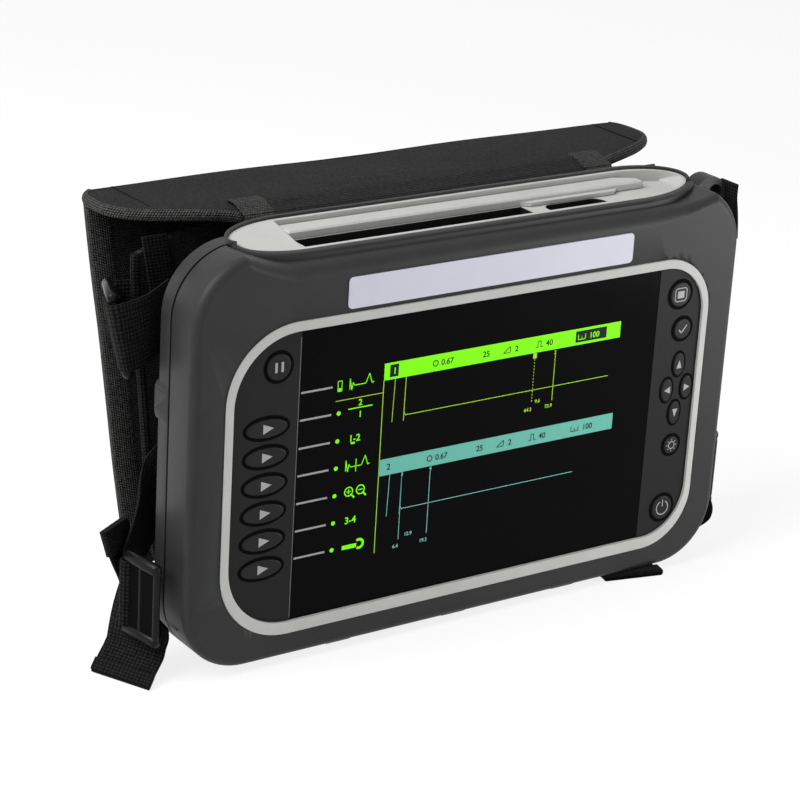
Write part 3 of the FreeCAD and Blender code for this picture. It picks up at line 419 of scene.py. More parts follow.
# %% Line of the hollow under the terminal bay
SHELL_TOP = 188.0
SHELL_FLAT = 114.0
SHELL_CORNER = 30.0
EDGE_R = 4.0
HOLLOW_TOP = 180.5
HOLLOW_R = 7.0
HOLLOW_FLAT = 95.0
HOLLOW_END = 119.0
RAMP_OVER = 0.4
soft_ends = {-1: (96.0, 120.0), 1: (110.0, 129.0)}


def corner_top(x):
    """Height of the shell's outline, whose upper corners are round."""
    over = min(SHELL_CORNER, max(0.0, abs(x) - SHELL_FLAT))
    return SHELL_TOP - SHELL_CORNER + math.sqrt(SHELL_CORNER ** 2 - over ** 2)


def packed_top(x):
    """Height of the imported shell's top, and the radius of its front edge."""
    t = max(0.0, (abs(x) - HOLLOW_FLAT) / (HOLLOW_END - HOLLOW_FLAT))
    top = HOLLOW_TOP + (SHELL_TOP + RAMP_OVER - HOLLOW_TOP) * t
    if top > corner_top(x):
        return corner_top(x), EDGE_R
    return top, HOLLOW_R + (EDGE_R + RAMP_OVER - HOLLOW_R) * t


def soft_top(x):
    """Height of the top after the hollow has been drawn out toward the tips of the bay."""
    start, end = soft_ends[1 if x > 0 else -1]
    t = min(1.0, max(0.0, (abs(x) - start) / (end - start)))
    soft = HOLLOW_TOP + (corner_top(end) - HOLLOW_TOP) * t ** 1.5
    return min(soft if t < 1.0 else SHELL_TOP, packed_top(x)[0])


print("the top sinks by", round(packed_top(108)[0] - soft_top(108), 2), "mm at x = 108")

# %% [markdown]
# ## Outline of the terminal bay
# From above the bay is a long canoe: straight sides and two half ellipses of different length. Its
# rim slopes up toward the back. Both are needed to keep the shell out of the bay.

# %% Outline of the terminal bay
COLLAR_W = 3.5
BAY_Y = -4.0
BAY_HALF = 13.0
RIM_LOW = 184.0
RIM_SLOPE = 0.2115
bay_tips = {-1: (-84.5, 30.5), 1: (92.5, 34.0)}


def rim(y):
    """Height of the sloping rim of the bay."""
    return RIM_LOW + RIM_SLOPE * (y - BAY_Y + BAY_HALF)


def in_bay(x, y, grow):
    """Whether a place is inside the bay's outline, made wider by some millimetres."""
    side = 1 if x > 0 else -1
    start, reach = bay_tips[side]
    past = max(0.0, (x - start) * side) / (reach + grow)
    return math.hypot(past, (y - BAY_Y) / (BAY_HALF + grow)) < 1.0


print("bay from", bay_tips[-1][0] - bay_tips[-1][1], "to", bay_tips[1][0] + bay_tips[1][1])

# %% [markdown]
# ## Front shell
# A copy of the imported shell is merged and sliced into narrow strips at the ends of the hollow, and
# each strip's top sinks to the softer line. The edge at the seam also moves back a little, so the
# seam reads as the dark line it is. Weighted normals then keep the flat faces flat.

# %% Front shell
FACE_Y = -27.5
FACE_FIXED = 160.0
FRONT_EDGE = 2.9
EDGE_SKIN = 0.2
TOP_SKIN = 2.2
FACE_SKIN = 0.05
NEAR = 0.02
WALL = 2.5
COLLAR_SINK = 1.6
SEAM_Y = -8.3
SEAM_BACK = 0.7
SLICES = 20


def finished(name, shape, finish, body=CASE, crease=40.0):
    """Makes a piece of a bmesh, shades it smooth and lets it ride on a body."""
    made = placed(name, shape, finish)
    made.data.shade_smooth()
    made.data.set_sharp_from_angle(angle=math.radians(crease))
    if body:
        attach(made, body)
    return made


def rubber_piece(name, shape, crease):
    """A piece of the case's rubber."""
    return finished(name, shape, finishes["rubber_charcoal"], crease=crease)


def merged_copy(node):
    """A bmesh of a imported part, with its loose triangles merged."""
    shape = bmesh.new()
    shape.from_mesh(nodes[node].data)
    bmesh.ops.remove_doubles(shape, verts=shape.verts, dist=2e-6)
    return shape


def evened(piece):
    """Weights a piece's normals by its faces' areas."""
    if "custom_normal" in piece.data.attributes:
        piece.data.attributes.remove(piece.data.attributes["custom_normal"])
    piece.modifiers.new("even_normals", "WEIGHTED_NORMAL").keep_sharp = True
    return piece


def sunk_point(point):
    """The place of one point of the shell on the softer hollow."""
    x, y, z = point / MM
    high, r = packed_top(x)
    low = soft_top(x)
    if z > (high - r - EDGE_SKIN if y < FACE_Y + FRONT_EDGE else high - TOP_SKIN):
        z -= high - low
    elif y < FACE_Y + FACE_SKIN:
        share = (low - r - FACE_FIXED) / (high - r - FACE_FIXED)
        z = min(z, FACE_FIXED) + max(0.0, z - FACE_FIXED) * share
    elif low < high:
        z = min(z, low - WALL)
    if in_bay(x, y, COLLAR_W - FACE_SKIN):
        z = min(z, rim(y) - COLLAR_SINK)
    if abs(y - SEAM_Y) < NEAR:
        y -= SEAM_BACK
    return mm(x, y, z)


shell = merged_copy("front_shell")
for side, (_, end) in soft_ends.items():
    for k in range(SLICES + 1):
        slice_at = mm(side * (HOLLOW_FLAT + (end - HOLLOW_FLAT) * k / SLICES), 0, 0)
        whole = shell.verts[:] + shell.edges[:] + shell.faces[:]
        bmesh.ops.bisect_plane(shell, geom=whole, dist=1e-6, plane_co=slice_at, plane_no=(1, 0, 0))
bmesh.ops.triangulate(shell, faces=[f for f in shell.faces if len(f.verts) > 3])
for vert in shell.verts:
    vert.co = sunk_point(vert.co)
print("shell faces after slicing:", len(shell.faces))
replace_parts(evened(rubber_piece("front_shell_moulding", shell, 50.0)), "front_shell")

# %% [markdown]
# ## Lugs on the rear shell
# The rear shell has a low pad on each side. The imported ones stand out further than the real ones,
# so a merged copy of the shell draws every point beyond its side wall back toward the wall: flush
# at the seam, and less and less toward the back of the pad.

# %% Lugs on the rear shell
SIDE_WALL = 144.0
LUG_SHARE = 0.4
LUG_FRONT = -7.8
LUG_DEPTH = 9.0
LUG_LEAST = 0.04
EYE_FROM = 140.0
tray = merged_copy("rear_shell")
lug_points = [v for v in tray.verts if abs(v.co.x) > (SIDE_WALL + NEAR) * MM and v.co.z < EYE_FROM * MM]
for vert in lug_points:
    wall = math.copysign(SIDE_WALL * MM, vert.co.x)
    behind = min(1.0, max(LUG_LEAST, (vert.co.y / MM - LUG_FRONT) / LUG_DEPTH))
    vert.co.x = wall + (vert.co.x - wall) * LUG_SHARE * behind
print("lug points drawn in:", len(lug_points))
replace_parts(evened(rubber_piece("rear_shell_moulding", tray, 35.0)), "rear_shell")

# %% [markdown]
# ## Carrying an outline along a run
# The collar, the bindings and the straps are all one outline carried along a row of stations, each
# with a middle, a side and an up direction. Extruding the outline's edges from station to station
# makes the skin, and the run and the girth so far become its UV map, so a weave follows the piece.


# %% Carrying an outline along a run
def stations(points, sides, square=True, loop=False):
    """Middle, side and up directions along a run."""
    rows = []
    ends = (points[-1], points[0]) if loop else (points[0], points[-1])
    before, after = [ends[0], *points], [*points[1:], ends[1]]
    for point, side, a, b in zip(points, sides, before, after):
        ahead = (b - a).normalized()
        side = side.normalized()
        if square:
            side = (side - ahead * side.dot(ahead)).normalized()
        rows.append((point, side, ahead.cross(side).normalized()))
    return rows


def follow_run(shape, girth, count):
    """Writes the run and the girth at each corner into the UV map."""
    uv = shape.loops.layers.uv[WEAVE]
    spot, far = shape.verts.layers.int["spot"], shape.verts.layers.float["far"]
    for face in shape.faces:
        wraps = {v[spot] for v in face.verts} == {0, count - 1} and count > 2
        for corner in face.loops:
            i = corner.vert[spot]
            corner[uv].uv = (corner.vert[far], girth[count] if wraps and i == 0 else girth[i])


def carried(outline, rows, loop=False):
    """Carries a closed outline along stations; outline points are (along side, along up)."""
    shape = bmesh.new()
    shape.loops.layers.uv.new(WEAVE)
    spot = shape.verts.layers.int.new("spot")
    far = shape.verts.layers.float.new("far")
    count = len(outline)
    girth = [0.0]
    for i in range(count):
        girth.append(girth[-1] + math.dist(outline[i], outline[(i + 1) % count]))
    point, side, up = rows[0]
    ring = []
    for i, (across, out) in enumerate(outline):
        ring.append(shape.verts.new(point + side * across + up * out))
        ring[i][spot] = i
    first = edges = [shape.edges.new((ring[i], ring[(i + 1) % count])) for i in range(count)]
    run = 0.0
    for k in range(1, len(rows) + (1 if loop else 0)):
        point, side, up = rows[k % len(rows)]
        run += (point - rows[k - 1][0]).length
        grown = bmesh.ops.extrude_edge_only(shape, edges=edges)["geom"]
        fresh = {g for g in grown if isinstance(g, bmesh.types.BMVert)}
        for vert in fresh:
            across, out = outline[vert[spot]]
            vert.co = point + side * across + up * out
            vert[far] = run
        edges = [g for g in grown if isinstance(g, bmesh.types.BMEdge) and set(g.verts) <= fresh]
    follow_run(shape, girth, count)
    if loop:
        bmesh.ops.remove_doubles(shape, verts=shape.verts, dist=1e-7)
    else:
        bmesh.ops.edgeloop_fill(shape, edges=first)
        bmesh.ops.edgeloop_fill(shape, edges=edges)
    bmesh.ops.recalc_face_normals(shape, faces=shape.faces)
    return shape


def swept(outline, run, side):
    """Carries an outline along a run whose side direction stays the same."""
    return carried(outline, stations(run, [side] * len(run)))


def in_metres(outline):
    """An outline given in millimetres."""
    return [(a * MM, b * MM) for a, b in outline]


print("tools: stations, carried and swept")

# %% [markdown]
# ## Collar of the terminal bay
# A rubber lip follows the front half of the bay's outline and stands a little proud of the shell,
# right to the tips. Its section, flat outside with a rounded top, is carried along the outline at
# one level, and then every point is lifted onto the sloping plane of the rim. Its left end rises
# further, to meet the rear shell.

# %% Collar of the terminal bay
UP = Vector((0, 0, 1))
COLLAR_TALL = 6.5
COLLAR_HALF = COLLAR_W / 2
LIFT = 2.1
LIFT_FROM = -108.0
LIFT_RUN = 9.5
TIP_TURN = 16
ARC_STEPS = 24
lip_run = []
for side, first, last in ((-1, TIP_TURN, 90), (1, 90, TIP_TURN)):
    start, reach = bay_tips[side]
    for k in range(ARC_STEPS + 1):
        a = math.radians(first + (last - first) * k / ARC_STEPS)
        x = start + side * (reach + COLLAR_HALF) * math.cos(a)
        lip_run.append(mm(x, BAY_Y - (BAY_HALF + COLLAR_HALF) * math.sin(a), 0))
outer = [(-COLLAR_TALL, 0.08), (-1.2, 0.08), (-0.5, -0.1), (-0.1, -0.5), (0.05, -1.1)]
inner = [(0.05, 0.6), (-0.4, 0.1)]
lip_outline = [(-COLLAR_TALL, -COLLAR_HALF)] + [(a, COLLAR_HALF + b) for a, b in outer]
lip_outline += [(a, b - COLLAR_HALF) for a, b in inner]
lip = swept(in_metres(lip_outline), lip_run, UP)
for vert in lip.verts:
    raised = LIFT * (max(0.0, LIFT_FROM - vert.co.x / MM) / LIFT_RUN) ** 2
    vert.co.z += (rim(vert.co.y / MM) + raised) * MM
    vert.co.y = min(vert.co.y, (SEAM_Y - SEAM_BACK) * MM)
rubber_piece("bay_collar_lip", lip, 50.0)
print("collar lip of", len(lip_run), "stations")

# %% [markdown]
# ## Padded panels
# The roof, the hanging front and the back of the soft case are stiff padded panels. Each starts as
# a grid. A function puts its points in place and says where they lie on the flat cloth, which is
# the UV map, and the grid is then thickened toward one side.


# %% Padded panels
def between(table, x):
    """Reads a table of pairs with straight runs between them."""
    for (x0, y0), (x1, y1) in zip(table, table[1:]):
        if x <= x1:
            return y0 + (y1 - y0) * max(0.0, (x - x0) / (x1 - x0))
    return table[-1][1]


def padded_panel(columns, rows, place, thick, toward):
    """A thick cloth panel that grows toward a direction, as seen at its last row."""
    shape = bmesh.new()
    shape.loops.layers.uv.new(WEAVE)
    bmesh.ops.create_grid(shape, x_segments=columns, y_segments=rows, size=1.0)
    uv = shape.loops.layers.uv[WEAVE]
    middles = {face: face.calc_center_median() for face in shape.faces}
    last = max(shape.faces, key=lambda face: middles[face].y - abs(middles[face].x))
    for vert in shape.verts:
        vert.co, flat = place(vert.co.x, (vert.co.y + 1) / 2)
        for corner in vert.link_loops:
            corner[uv].uv = [v * MM for v in flat]
    shape.normal_update()
    if last.normal.dot(toward) < 0:
        bmesh.ops.reverse_faces(shape, faces=shape.faces)
    bmesh.ops.solidify(shape, geom=shape.faces[:], thickness=-thick * MM)
    bmesh.ops.recalc_face_normals(shape, faces=shape.faces)
    return shape


print("tools: between and padded_panel")

# %% [markdown]
# ## Roof of the cover
# The cover is thrown back, so its roof lies flat behind the terminal bay: straight along the neck,
# with swept shoulders and rounded outer corners. A grid follows that outline with one half-width
# per depth, and a gentle crown with slow ripples keeps it from looking like a board.

# %% Roof of the cover
ROOF_FRONT = 17.2
ROOF_BACK = 69.8
ROOF_THICK = 2.4
ROOF_HALF = 147.0
ROOF_Z = 192.6
CROWN = 0.4
DROOP = 0.6
RIPPLE_FROM, RIPPLE_RUN = 25.0, 10.0
SLOPE_FROM, SLOPE_RUN, SLOPE_DROP = 24.0, 6.8, 2.0
left_line = [(17.2, 96.0), (19.6, 103.0), (22.0, 111.5), (25.3, 120.0), (30.0, 130.0), (35.8, 138.0),
             (41.0, 142.6), (46.0, 145.0), (53.0, 145.8), (60.0, 145.6), (64.0, 144.8), (67.2, 143.0),
             (69.8, 140.4)]
right_line = [(17.2, 96.0), (20.3, 99.6), (24.5, 111.0), (30.5, 124.2), (36.9, 134.0), (42.0, 139.4),
              (48.0, 142.8), (55.0, 143.6), (61.0, 143.6), (66.0, 142.8), (69.8, 140.4)]


def roof_rise(x, y):
    """Height of the roof's upper face: a crown, a slope to the neck, drooping ends and ripples."""
    end = min(1.0, abs(x) / ROOF_HALF)
    back = (y - ROOF_FRONT) / (ROOF_BACK - ROOF_FRONT)
    ripple = 0.28 * math.sin(x / 19.0 + y / 13.0) + 0.2 * math.sin(x / 43.0 - y / 9.0)
    ripple *= (1 - end ** 8) * min(1.0, max(0.0, (y - RIPPLE_FROM) / RIPPLE_RUN))
    slope = SLOPE_DROP * (max(0.0, SLOPE_FROM - y) / SLOPE_RUN) ** 2
    return ROOF_Z + CROWN * math.sin(math.pi * back) - DROOP * back - DROOP * end ** 6 - slope + ripple


def roof_place(s, t):
    """A point of the roof's lower face, and its place on the cloth."""
    y = ROOF_FRONT + (ROOF_BACK - ROOF_FRONT) * t
    x = s * between(left_line if s < 0 else right_line, y)
    return mm(x, y, roof_rise(x, y) - ROOF_THICK), (x, y)


roof_shape = padded_panel(120, 30, roof_place, ROOF_THICK, UP)
roof = finished("cover_roof_cloth", roof_shape, cloth, "cover_top")
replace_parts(roof, "cover_top")
print("roof is", [round(v / MM, 1) for v in roof.dimensions], "mm")

# %% [markdown]
# ## Binding of the roof
# The swept edges of the real panel are bound with ribbed tape, folded over the edge and sewn
# through. An oval section carried along each side gives the rounded edge that catches the light,
# and a thin line of thread crosses the roof near each end.

# %% Binding of the roof
RIGHT = Vector((1, 0, 0))
SEAM_X = 130.0
ROLL_DROP = 0.9
ROLL_HALF_H = 2.5
ROLL_HALF_W = 2.0


def eased(row, steps):
    """A smooth run through a row of points, with some in-between points on each span."""
    run = []
    last = len(row) - 1
    for i in range(last):
        a, b, c, d = row[max(i - 1, 0)], row[i], row[i + 1], row[min(i + 2, last)]
        for k in range(steps):
            t = k / steps
            run.append(0.5 * (2 * b + (c - a) * t + (2 * a - 5 * b + 4 * c - d) * t * t
                              + (3 * b - a - 3 * c + d) * t ** 3))
    run.append(row[-1])
    return run


def oval_outline(a, b, count=12):
    """Section of a binding or a round bar."""
    turns = [2 * math.pi * i / count for i in range(count)]
    return [(a * MM * math.cos(x), b * MM * math.sin(x)) for x in turns]


for name, line, side in (("left", left_line, -1), ("right", right_line, 1)):
    edge = [mm(side * x, y, roof_rise(x, y) - ROOF_THICK / 2 - ROLL_DROP) for y, x in line]
    binding = swept(oval_outline(ROLL_HALF_H, ROLL_HALF_W), eased(edge, 6), UP)
    finished("cover_roof_binding_" + name, binding, tape, "cover_top")
    seam = [mm(side * SEAM_X, y, roof_rise(SEAM_X, y) + 0.1) for y in range(36, 70, 3)]
    stitches = swept(oval_outline(0.5, 0.3), seam, RIGHT)
    finished("cover_roof_seam_" + name, stitches, thread, "cover_top")
print("roof bound and sewn on both sides")

# %% [markdown]
# ## Hanging front of the cover
# Behind the roof the cover turns down and hangs, leaning in toward the case and waving more at its
# lower edge. It is one panel with a soft roll at the fold, and it bends there when the cover is
# closed, so the mesh is blended between the roof and the front.

# %% Hanging front of the cover
BACK = Vector((0, 1, 0))
FLAP_THICK = 3.0
FLAP_TOP = 186.0
FLAP_TALL = 164.0
drop = [(68.8, 191.8), (70.6, 191.3), (71.9, 189.8), (72.2, 186.5), (71.6, 181.0), (69.2, 160.0),
        (66.4, 136.0), (62.4, 104.0), (58.4, 72.0), (54.6, 44.0), (52.6, 30.0), (51.6, 22.0)]
flap_half = [(22.0, 119.0), (24.0, 124.0), (28.0, 127.4), (34.0, 129.2), (70.0, 132.6), (110.0, 136.0),
             (150.0, 139.0), (183.0, 141.0), (192.0, 141.4)]


def lengths(run):
    """How far along a run each of its points is."""
    far = [0.0]
    for a, b in zip(run, run[1:]):
        far.append(far[-1] + (b - a).length)
    return far


drop_run = eased([Vector((0, y, z)) for y, z in drop], 6)
drop_length = lengths(drop_run)


def flap_place(s, t):
    """A point of the hanging front's rear face, and its place on the cloth."""
    k = t * (len(drop_run) - 1)
    i = min(int(k), len(drop_run) - 2)
    spot = drop_run[i].lerp(drop_run[i + 1], k - i)
    run = drop_length[i] + (drop_length[i + 1] - drop_length[i]) * (k - i)
    x = s * between(flap_half, spot.z)
    low = max(0.0, (FLAP_TOP - spot.z) / FLAP_TALL)
    wave = 0.9 * math.sin(x / 31.0 + spot.z / 47.0) + 0.6 * math.sin(x / 57.0 - spot.z / 23.0) - 0.4
    return mm(x, spot.y + wave * min(1.0, 3 * low), spot.z), (x, run)


flap_shape = padded_panel(64, 96, flap_place, FLAP_THICK, -BACK)
flap = finished("cover_front_cloth", flap_shape, cloth, None)
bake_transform(flap, "cover_top", "cover_front", start=mm(0, 69.2, 191.6), end=mm(0, 72.4, 188.4))
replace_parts(flap, "cover_front")
print("hanging front is", round(drop_length[-1]), "mm long")

# %% [markdown]
# ## Hem of the hanging front
# A wide tape is folded over the three free edges of the hanging front. It is a flat channel, so its
# section is drawn with a round nose and two long sides, and carried along each edge.

# %% Hem of the hanging front
HEM_W = 9.5
HEM_FROM, HEM_TO = 0.24, 0.94
HEM_STEPS = 40
hem_half = [(1.3, -1.1), (2.0, 0.0), (2.0, HEM_W / 2), (2.0, HEM_W - 1.0), (1.5, HEM_W)]
hem_outline = [(-2.0, 0.0), (-1.3, -1.1)] + hem_half + [(-a, b) for a, b in hem_half[:1:-1]]
down = [HEM_FROM + (HEM_TO - HEM_FROM) * k / HEM_STEPS for k in range(HEM_STEPS + 1)]
hem_edges = {
    "left": [(-1.0, t) for t in down],
    "low": [(s / 12, 1.0) for s in range(-11, 12)],
    "right": [(1.0, t) for t in reversed(down)],
}
for name, edge in hem_edges.items():
    run = [flap_place(s, t)[0] - BACK * FLAP_THICK / 2 * MM for s, t in edge]
    hem = swept(in_metres(hem_outline), run, BACK)
    finished("cover_front_hem_" + name, hem, tape, "cover_front")
print("hem of", len(hem_outline), "points on three edges")

# %% [markdown]
# ## Back panel
# Between the case and the hanging front stands a second padded panel, which the straps hold. Its
# upper corners slope down, and its sides and lower edge are bound.

# %% Back panel
BACK_THICK = 3.2
BACK_Y = 31.0
BACK_LOW = 24.0
BACK_TALL = 160.0
CORNER_FROM, CORNER_DROP = 0.72, 10.0
back_half = [(24.0, 112.0), (26.0, 118.5), (30.0, 122.6), (37.0, 125.6), (80.0, 130.4), (130.0, 135.4),
             (165.0, 138.4), (176.0, 138.4), (184.0, 138.0)]


def back_place(s, t):
    """A point of the back panel's front face, and its place on the cloth."""
    corner = max(0.0, (abs(s) - CORNER_FROM) / (1 - CORNER_FROM))
    z = BACK_LOW + (BACK_TALL - CORNER_DROP * corner ** 1.5) * t
    x = s * between(back_half, z)
    return mm(x, BACK_Y + 0.2 * math.sin(x / 27.0 + z / 33.0), z), (x, z)


back_shape = padded_panel(50, 60, back_place, BACK_THICK, BACK)
back = finished("case_back_cloth", back_shape, cloth)
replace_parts(back, "case_back_panel")
back_edge = [(-1.0, 1.0 - k / 40) for k in range(41)] + [(-1.0 + k / 10, 0.0) for k in range(1, 20)]
back_edge += [(1.0, k / 40) for k in range(41)]
back_rim = [back_place(s, t)[0] + BACK * BACK_THICK / 2 * MM for s, t in back_edge]
finished("case_back_binding", swept(oval_outline(2.1, 2.0), back_rim, BACK), webbing)
print("back panel bound along", len(back_rim), "points")

# %% [markdown]
# ## Neck of the cover
# A neck of cloth leaves the back panel's top edge, leans forward over the back of the case, folds,
# and is sewn onto the roof's front edge, so it is blended between the case and the roof. Ribbed
# patches strengthen both ends of the fold.

# %% Neck of the cover
NECK_HALF = 97.5
NECK_THICK = 0.7
PATCH_W = 15.0
PATCH_THICK = 1.2
PATCH_FROM = 25
neck_line = [(36.0, 178.5), (36.4, 183.6), (33.4, 185.8), (27.0, 186.8), (19.0, 187.7), (15.4, 188.4),
             (13.9, 189.2), (14.4, 190.0), (18.0, 191.1), (22.0, 192.45), (26.0, 192.8), (27.4, 192.85)]
neck_run = eased([Vector((0, y, z)) for y, z in neck_line], 5)
neck_length = lengths(neck_run)


def neck_strip(x0, x1, columns, first, thick):
    """A strip of the neck's cloth between two places across the case, from one station on."""
    rows = len(neck_run) - 1 - first

    def place(s, t):
        k = first + round(t * rows)
        x = x0 + (x1 - x0) * (s + 1) / 2
        return mm(x, neck_run[k].y, neck_run[k].z), (x, neck_length[k])

    return padded_panel(columns, rows, place, thick, UP)


def hinged(piece):
    """Lets a piece of the neck bend between the case and the roof."""
    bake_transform(piece, CASE, "cover_top", start=mm(0, 15.5, 188.9), end=mm(0, 15.5, 190.6))
    return piece


neck_shape = neck_strip(-NECK_HALF, NECK_HALF, 60, 0, NECK_THICK)
neck = hinged(finished("cover_neck_cloth", neck_shape, cloth, None))
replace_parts(neck, "cover_neck")
for name, inner in (("left", -NECK_HALF), ("right", NECK_HALF - PATCH_W)):
    patch_shape = neck_strip(inner, inner + PATCH_W, 8, PATCH_FROM, PATCH_THICK)
    hinged(finished("neck_patch_" + name, patch_shape, tape, None))

# %% [markdown]
# ## Three-bar slides
# Each strap is held by a moulded slide: a rounded frame with a bar across its middle. A round bar
# carried round a rounded rectangle makes the frame, a second short one makes the bar, and two
# stretched balls make the thick ends. The slide stands beside the case, turned and leaning as the
# strap pulls it, so all its points go through one function that knows its place.

# %% Three-bar slides
SLIDE_HALF_H = 19.5
SLIDE_HALF_W = 11.4
SLIDE_CORNER = 4.2
BAR_R = 1.7
FRAME_OUT = 1.6
MIDDLE_R = 1.5
PLATE_OUT, PLATE_ALONG = -0.5, -1.6
PLATE_HALF = (0.8, 8.2, 17.0)
END_OUT = 2.5
END_RISE = 2.9
END_RUN = SLIDE_HALF_W - END_OUT
END_Z = SLIDE_HALF_H - END_RISE


def slide_place(spot, turn, lean=0.0):
    """A function that gives a point by its distances from the middle of a slide."""
    a, b = math.radians(turn), math.radians(lean)

    def at(out, along, rise=0.0):
        x = out * math.cos(b) - rise * math.sin(b)
        z = out * math.sin(b) + rise * math.cos(b)
        return mm(spot[0] + x * math.cos(a) - along * math.sin(a),
                  spot[1] + x * math.sin(a) + along * math.cos(a), spot[2] + z)

    return at


def joined(whole, *others):
    """Several bmeshes in one."""
    for other in others:
        spare = bpy.data.meshes.new("joined")
        other.to_mesh(spare)
        other.free()
        whole.from_mesh(spare)
        bpy.data.meshes.remove(spare)
    return whole


def mirrored(shape):
    """Turns a bmesh into its mirror image across the middle of the case."""
    bmesh.ops.scale(shape, vec=(-1, 1, 1), verts=shape.verts)
    bmesh.ops.reverse_faces(shape, faces=shape.faces)
    return shape


def slide_end(at, end):
    """The thick rounded rail at one end of a slide."""
    shape = bmesh.new()
    bmesh.ops.create_uvsphere(shape, u_segments=20, v_segments=12, radius=1.0)
    for vert in shape.verts:
        out, rise, along = vert.co
        stretch = math.copysign(END_RUN, along) if abs(along) > 0.01 else 0.0
        vert.co = at(END_OUT * out, END_OUT * along + stretch, end * END_Z + END_RISE * rise)
    shape.normal_update()
    bmesh.ops.recalc_face_normals(shape, faces=shape.faces)
    return shape


def slide_frame(at):
    """The moulded frame of a three-bar slide, with its middle bar."""
    w, h = SLIDE_HALF_W - BAR_R - SLIDE_CORNER, SLIDE_HALF_H - BAR_R
    k = h - SLIDE_CORNER
    ring = []
    for cx, cz, start in ((w, k, 0), (-w, k, 90), (-w, -k, 180), (w, -k, 270)):
        for a in (math.radians(start + 15 * step) for step in range(7)):
            ring.append(at(0, cx + SLIDE_CORNER * math.cos(a), cz + SLIDE_CORNER * math.sin(a)))
    outward = at(1, 0) - at(0, 0)
    frame_rows = stations(ring, [outward] * len(ring), loop=True)
    bar_run = [at(0, 0, -h + (2 * h) * step / 6) for step in range(7)]
    bar = swept(oval_outline(MIDDLE_R, MIDDLE_R), bar_run, outward)
    frame_shape = carried(oval_outline(FRAME_OUT, BAR_R), frame_rows, loop=True)
    return joined(frame_shape, bar, *[slide_end(at, end) for end in (-1, 1)])


def slide_shade_plate(at):
    """A flat dark plate between the middle and the front bar of a lower slide, painted shade for the slide's
    shaded opening.
    """
    shape = bmesh.new()
    bmesh.ops.create_cube(shape, size=2.0)
    bmesh.ops.subdivide_edges(shape, edges=shape.edges, cuts=2, use_grid_fill=True)
    for vert in shape.verts:
        out, along, rise = (v * half for v, half in zip(vert.co, PLATE_HALF))
        vert.co = at(PLATE_OUT + out, PLATE_ALONG + along, rise)
    # The plate takes the slide's second finish, matt key-mat black, as painted shade.
    for face in shape.faces:
        face.material_index = 1
    return shape


UPPER_Z = 146.2
LOW_LEFT = (-155.0, -9.0, 36.0)
at_upper = slide_place((-151.6, 22.5, UPPER_Z), -22.0, 12.0)
at_low_left = slide_place(LOW_LEFT, 10.0)
at_low_right = slide_place((-154.5, 0.0, 38.5), -18.0)
slides = {"upper_left": at_upper, "upper_right": at_upper,
          "lower_left": at_low_left, "lower_right": at_low_right}
for name, at in slides.items():
    shape = slide_frame(at)
    if "lower" in name:
        shape = joined(shape, slide_shade_plate(at))
    if "right" in name:
        mirrored(shape)
    slide = finished("slide_" + name + "_moulding", shape, finishes["slide_black"])
    # Second finish, for the plate of a lower slide: painted shade.
    slide.data.materials.append(finishes["silicone_black"])
    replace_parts(slide, "slide_" + name)
print("slides:", len(slides))

# %% [markdown]
# ## Upper straps
# Two short straps hold the case to the back panel at the top. At every slide one end is wrapped
# round the rear bar and sewn back, and the other passes over the middle bar. Webbing keeps its
# width and does not stretch, so each strap is a flat section carried along a few points, with the
# side direction given at each one.

# %% Upper straps
STRAP_W = 30.0
STRAP_T = 1.5
SELVEDGE = 0.6
REAR_BAR = SLIDE_HALF_W - BAR_R
WRAP = BAR_R + 0.95


def strap_outline(width, thick):
    """Section of webbing: flat, with slightly rounded selvedges."""
    w, t = width * MM / 2, thick * MM / 2
    top = [(x, t) for x in (-w + SELVEDGE * MM, -w / 2, 0, w / 2, w - SELVEDGE * MM)]
    low = [(x, -t) for x, _ in reversed(top)]
    return [(-w, -0.5 * t), (-w, 0.5 * t)] + top + [(w, 0.5 * t), (w, -0.5 * t)] + low


def strap(points, sides, steps=6, width=STRAP_W, square=True):
    """A length of webbing along a few points."""
    rows = stations(eased(points, steps), eased([s.normalized() for s in sides], steps), square)
    return carried(strap_outline(width, STRAP_T), rows)


def wrap_rear(at):
    """Middle line of webbing that comes from behind, goes round the rear bar and meets itself."""
    spots = [(3.2, 6.6), (WRAP + 0.1, 2.6)]
    turns = [math.radians(a) for a in (0, 45, 90, 135, 180)]
    spots += [(WRAP * math.cos(a), -WRAP * math.sin(a)) for a in turns]
    spots += [(-1.9, 1.9), (-0.3, 2.75), (1.1, 3.2)]
    return [at(out, REAR_BAR + along) for out, along in spots]


def over_middle(at):
    """Middle line of webbing from inside, round the middle bar and out over the front bar."""
    spots = [(2.6, -6.5), (2.6, -2.0), (2.0, 1.6), (0.2, 2.7), (-1.6, 1.9), (-2.5, -1.2), (-2.6, -6.0),
             (-2.6, -9.6), (-1.9, -12.0), (0.4, -13.3)]
    return [at(out, along) for out, along in spots]


def webbing_piece(name, shape, node):
    """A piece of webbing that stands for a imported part."""
    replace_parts(finished(name, shape, webbing), node)


tilt = at_upper(0, 0, 1) - at_upper(0, 0)
easing = (tilt.normalized() + UP).normalized()
to_case = [(-149.6, 10.4, 1.0), (-142.5, 12.6, 2.2), (-135.6, 16.8, 3.0), (-127.5, 22.6, 3.4)]
from_panel = [(-124.0, 35.6), (-135.0, 35.7), (-139.4, 37.0), (-143.4, 38.2), (-147.4, 38.6)]
for name in ("upper_left", "upper_right"):
    over = over_middle(at_upper)
    front_line = over + [mm(x, y, UPPER_Z + rise) for x, y, rise in to_case]
    front_part = strap(front_line, [tilt] * len(over) + [easing, UP, UP, UP], 5)
    wrap = wrap_rear(at_upper)[1:]
    rear_line = [mm(x, y, UPPER_Z) for x, y in from_panel] + wrap
    rear_part = strap(rear_line, [UP] * 4 + [easing] + [tilt] * len(wrap), 5)
    shape = joined(front_part, rear_part)
    if name == "upper_right":
        mirrored(shape)
    webbing_piece("strap_" + name + "_webbing", shape, "strap_" + name)
print("upper straps in place")

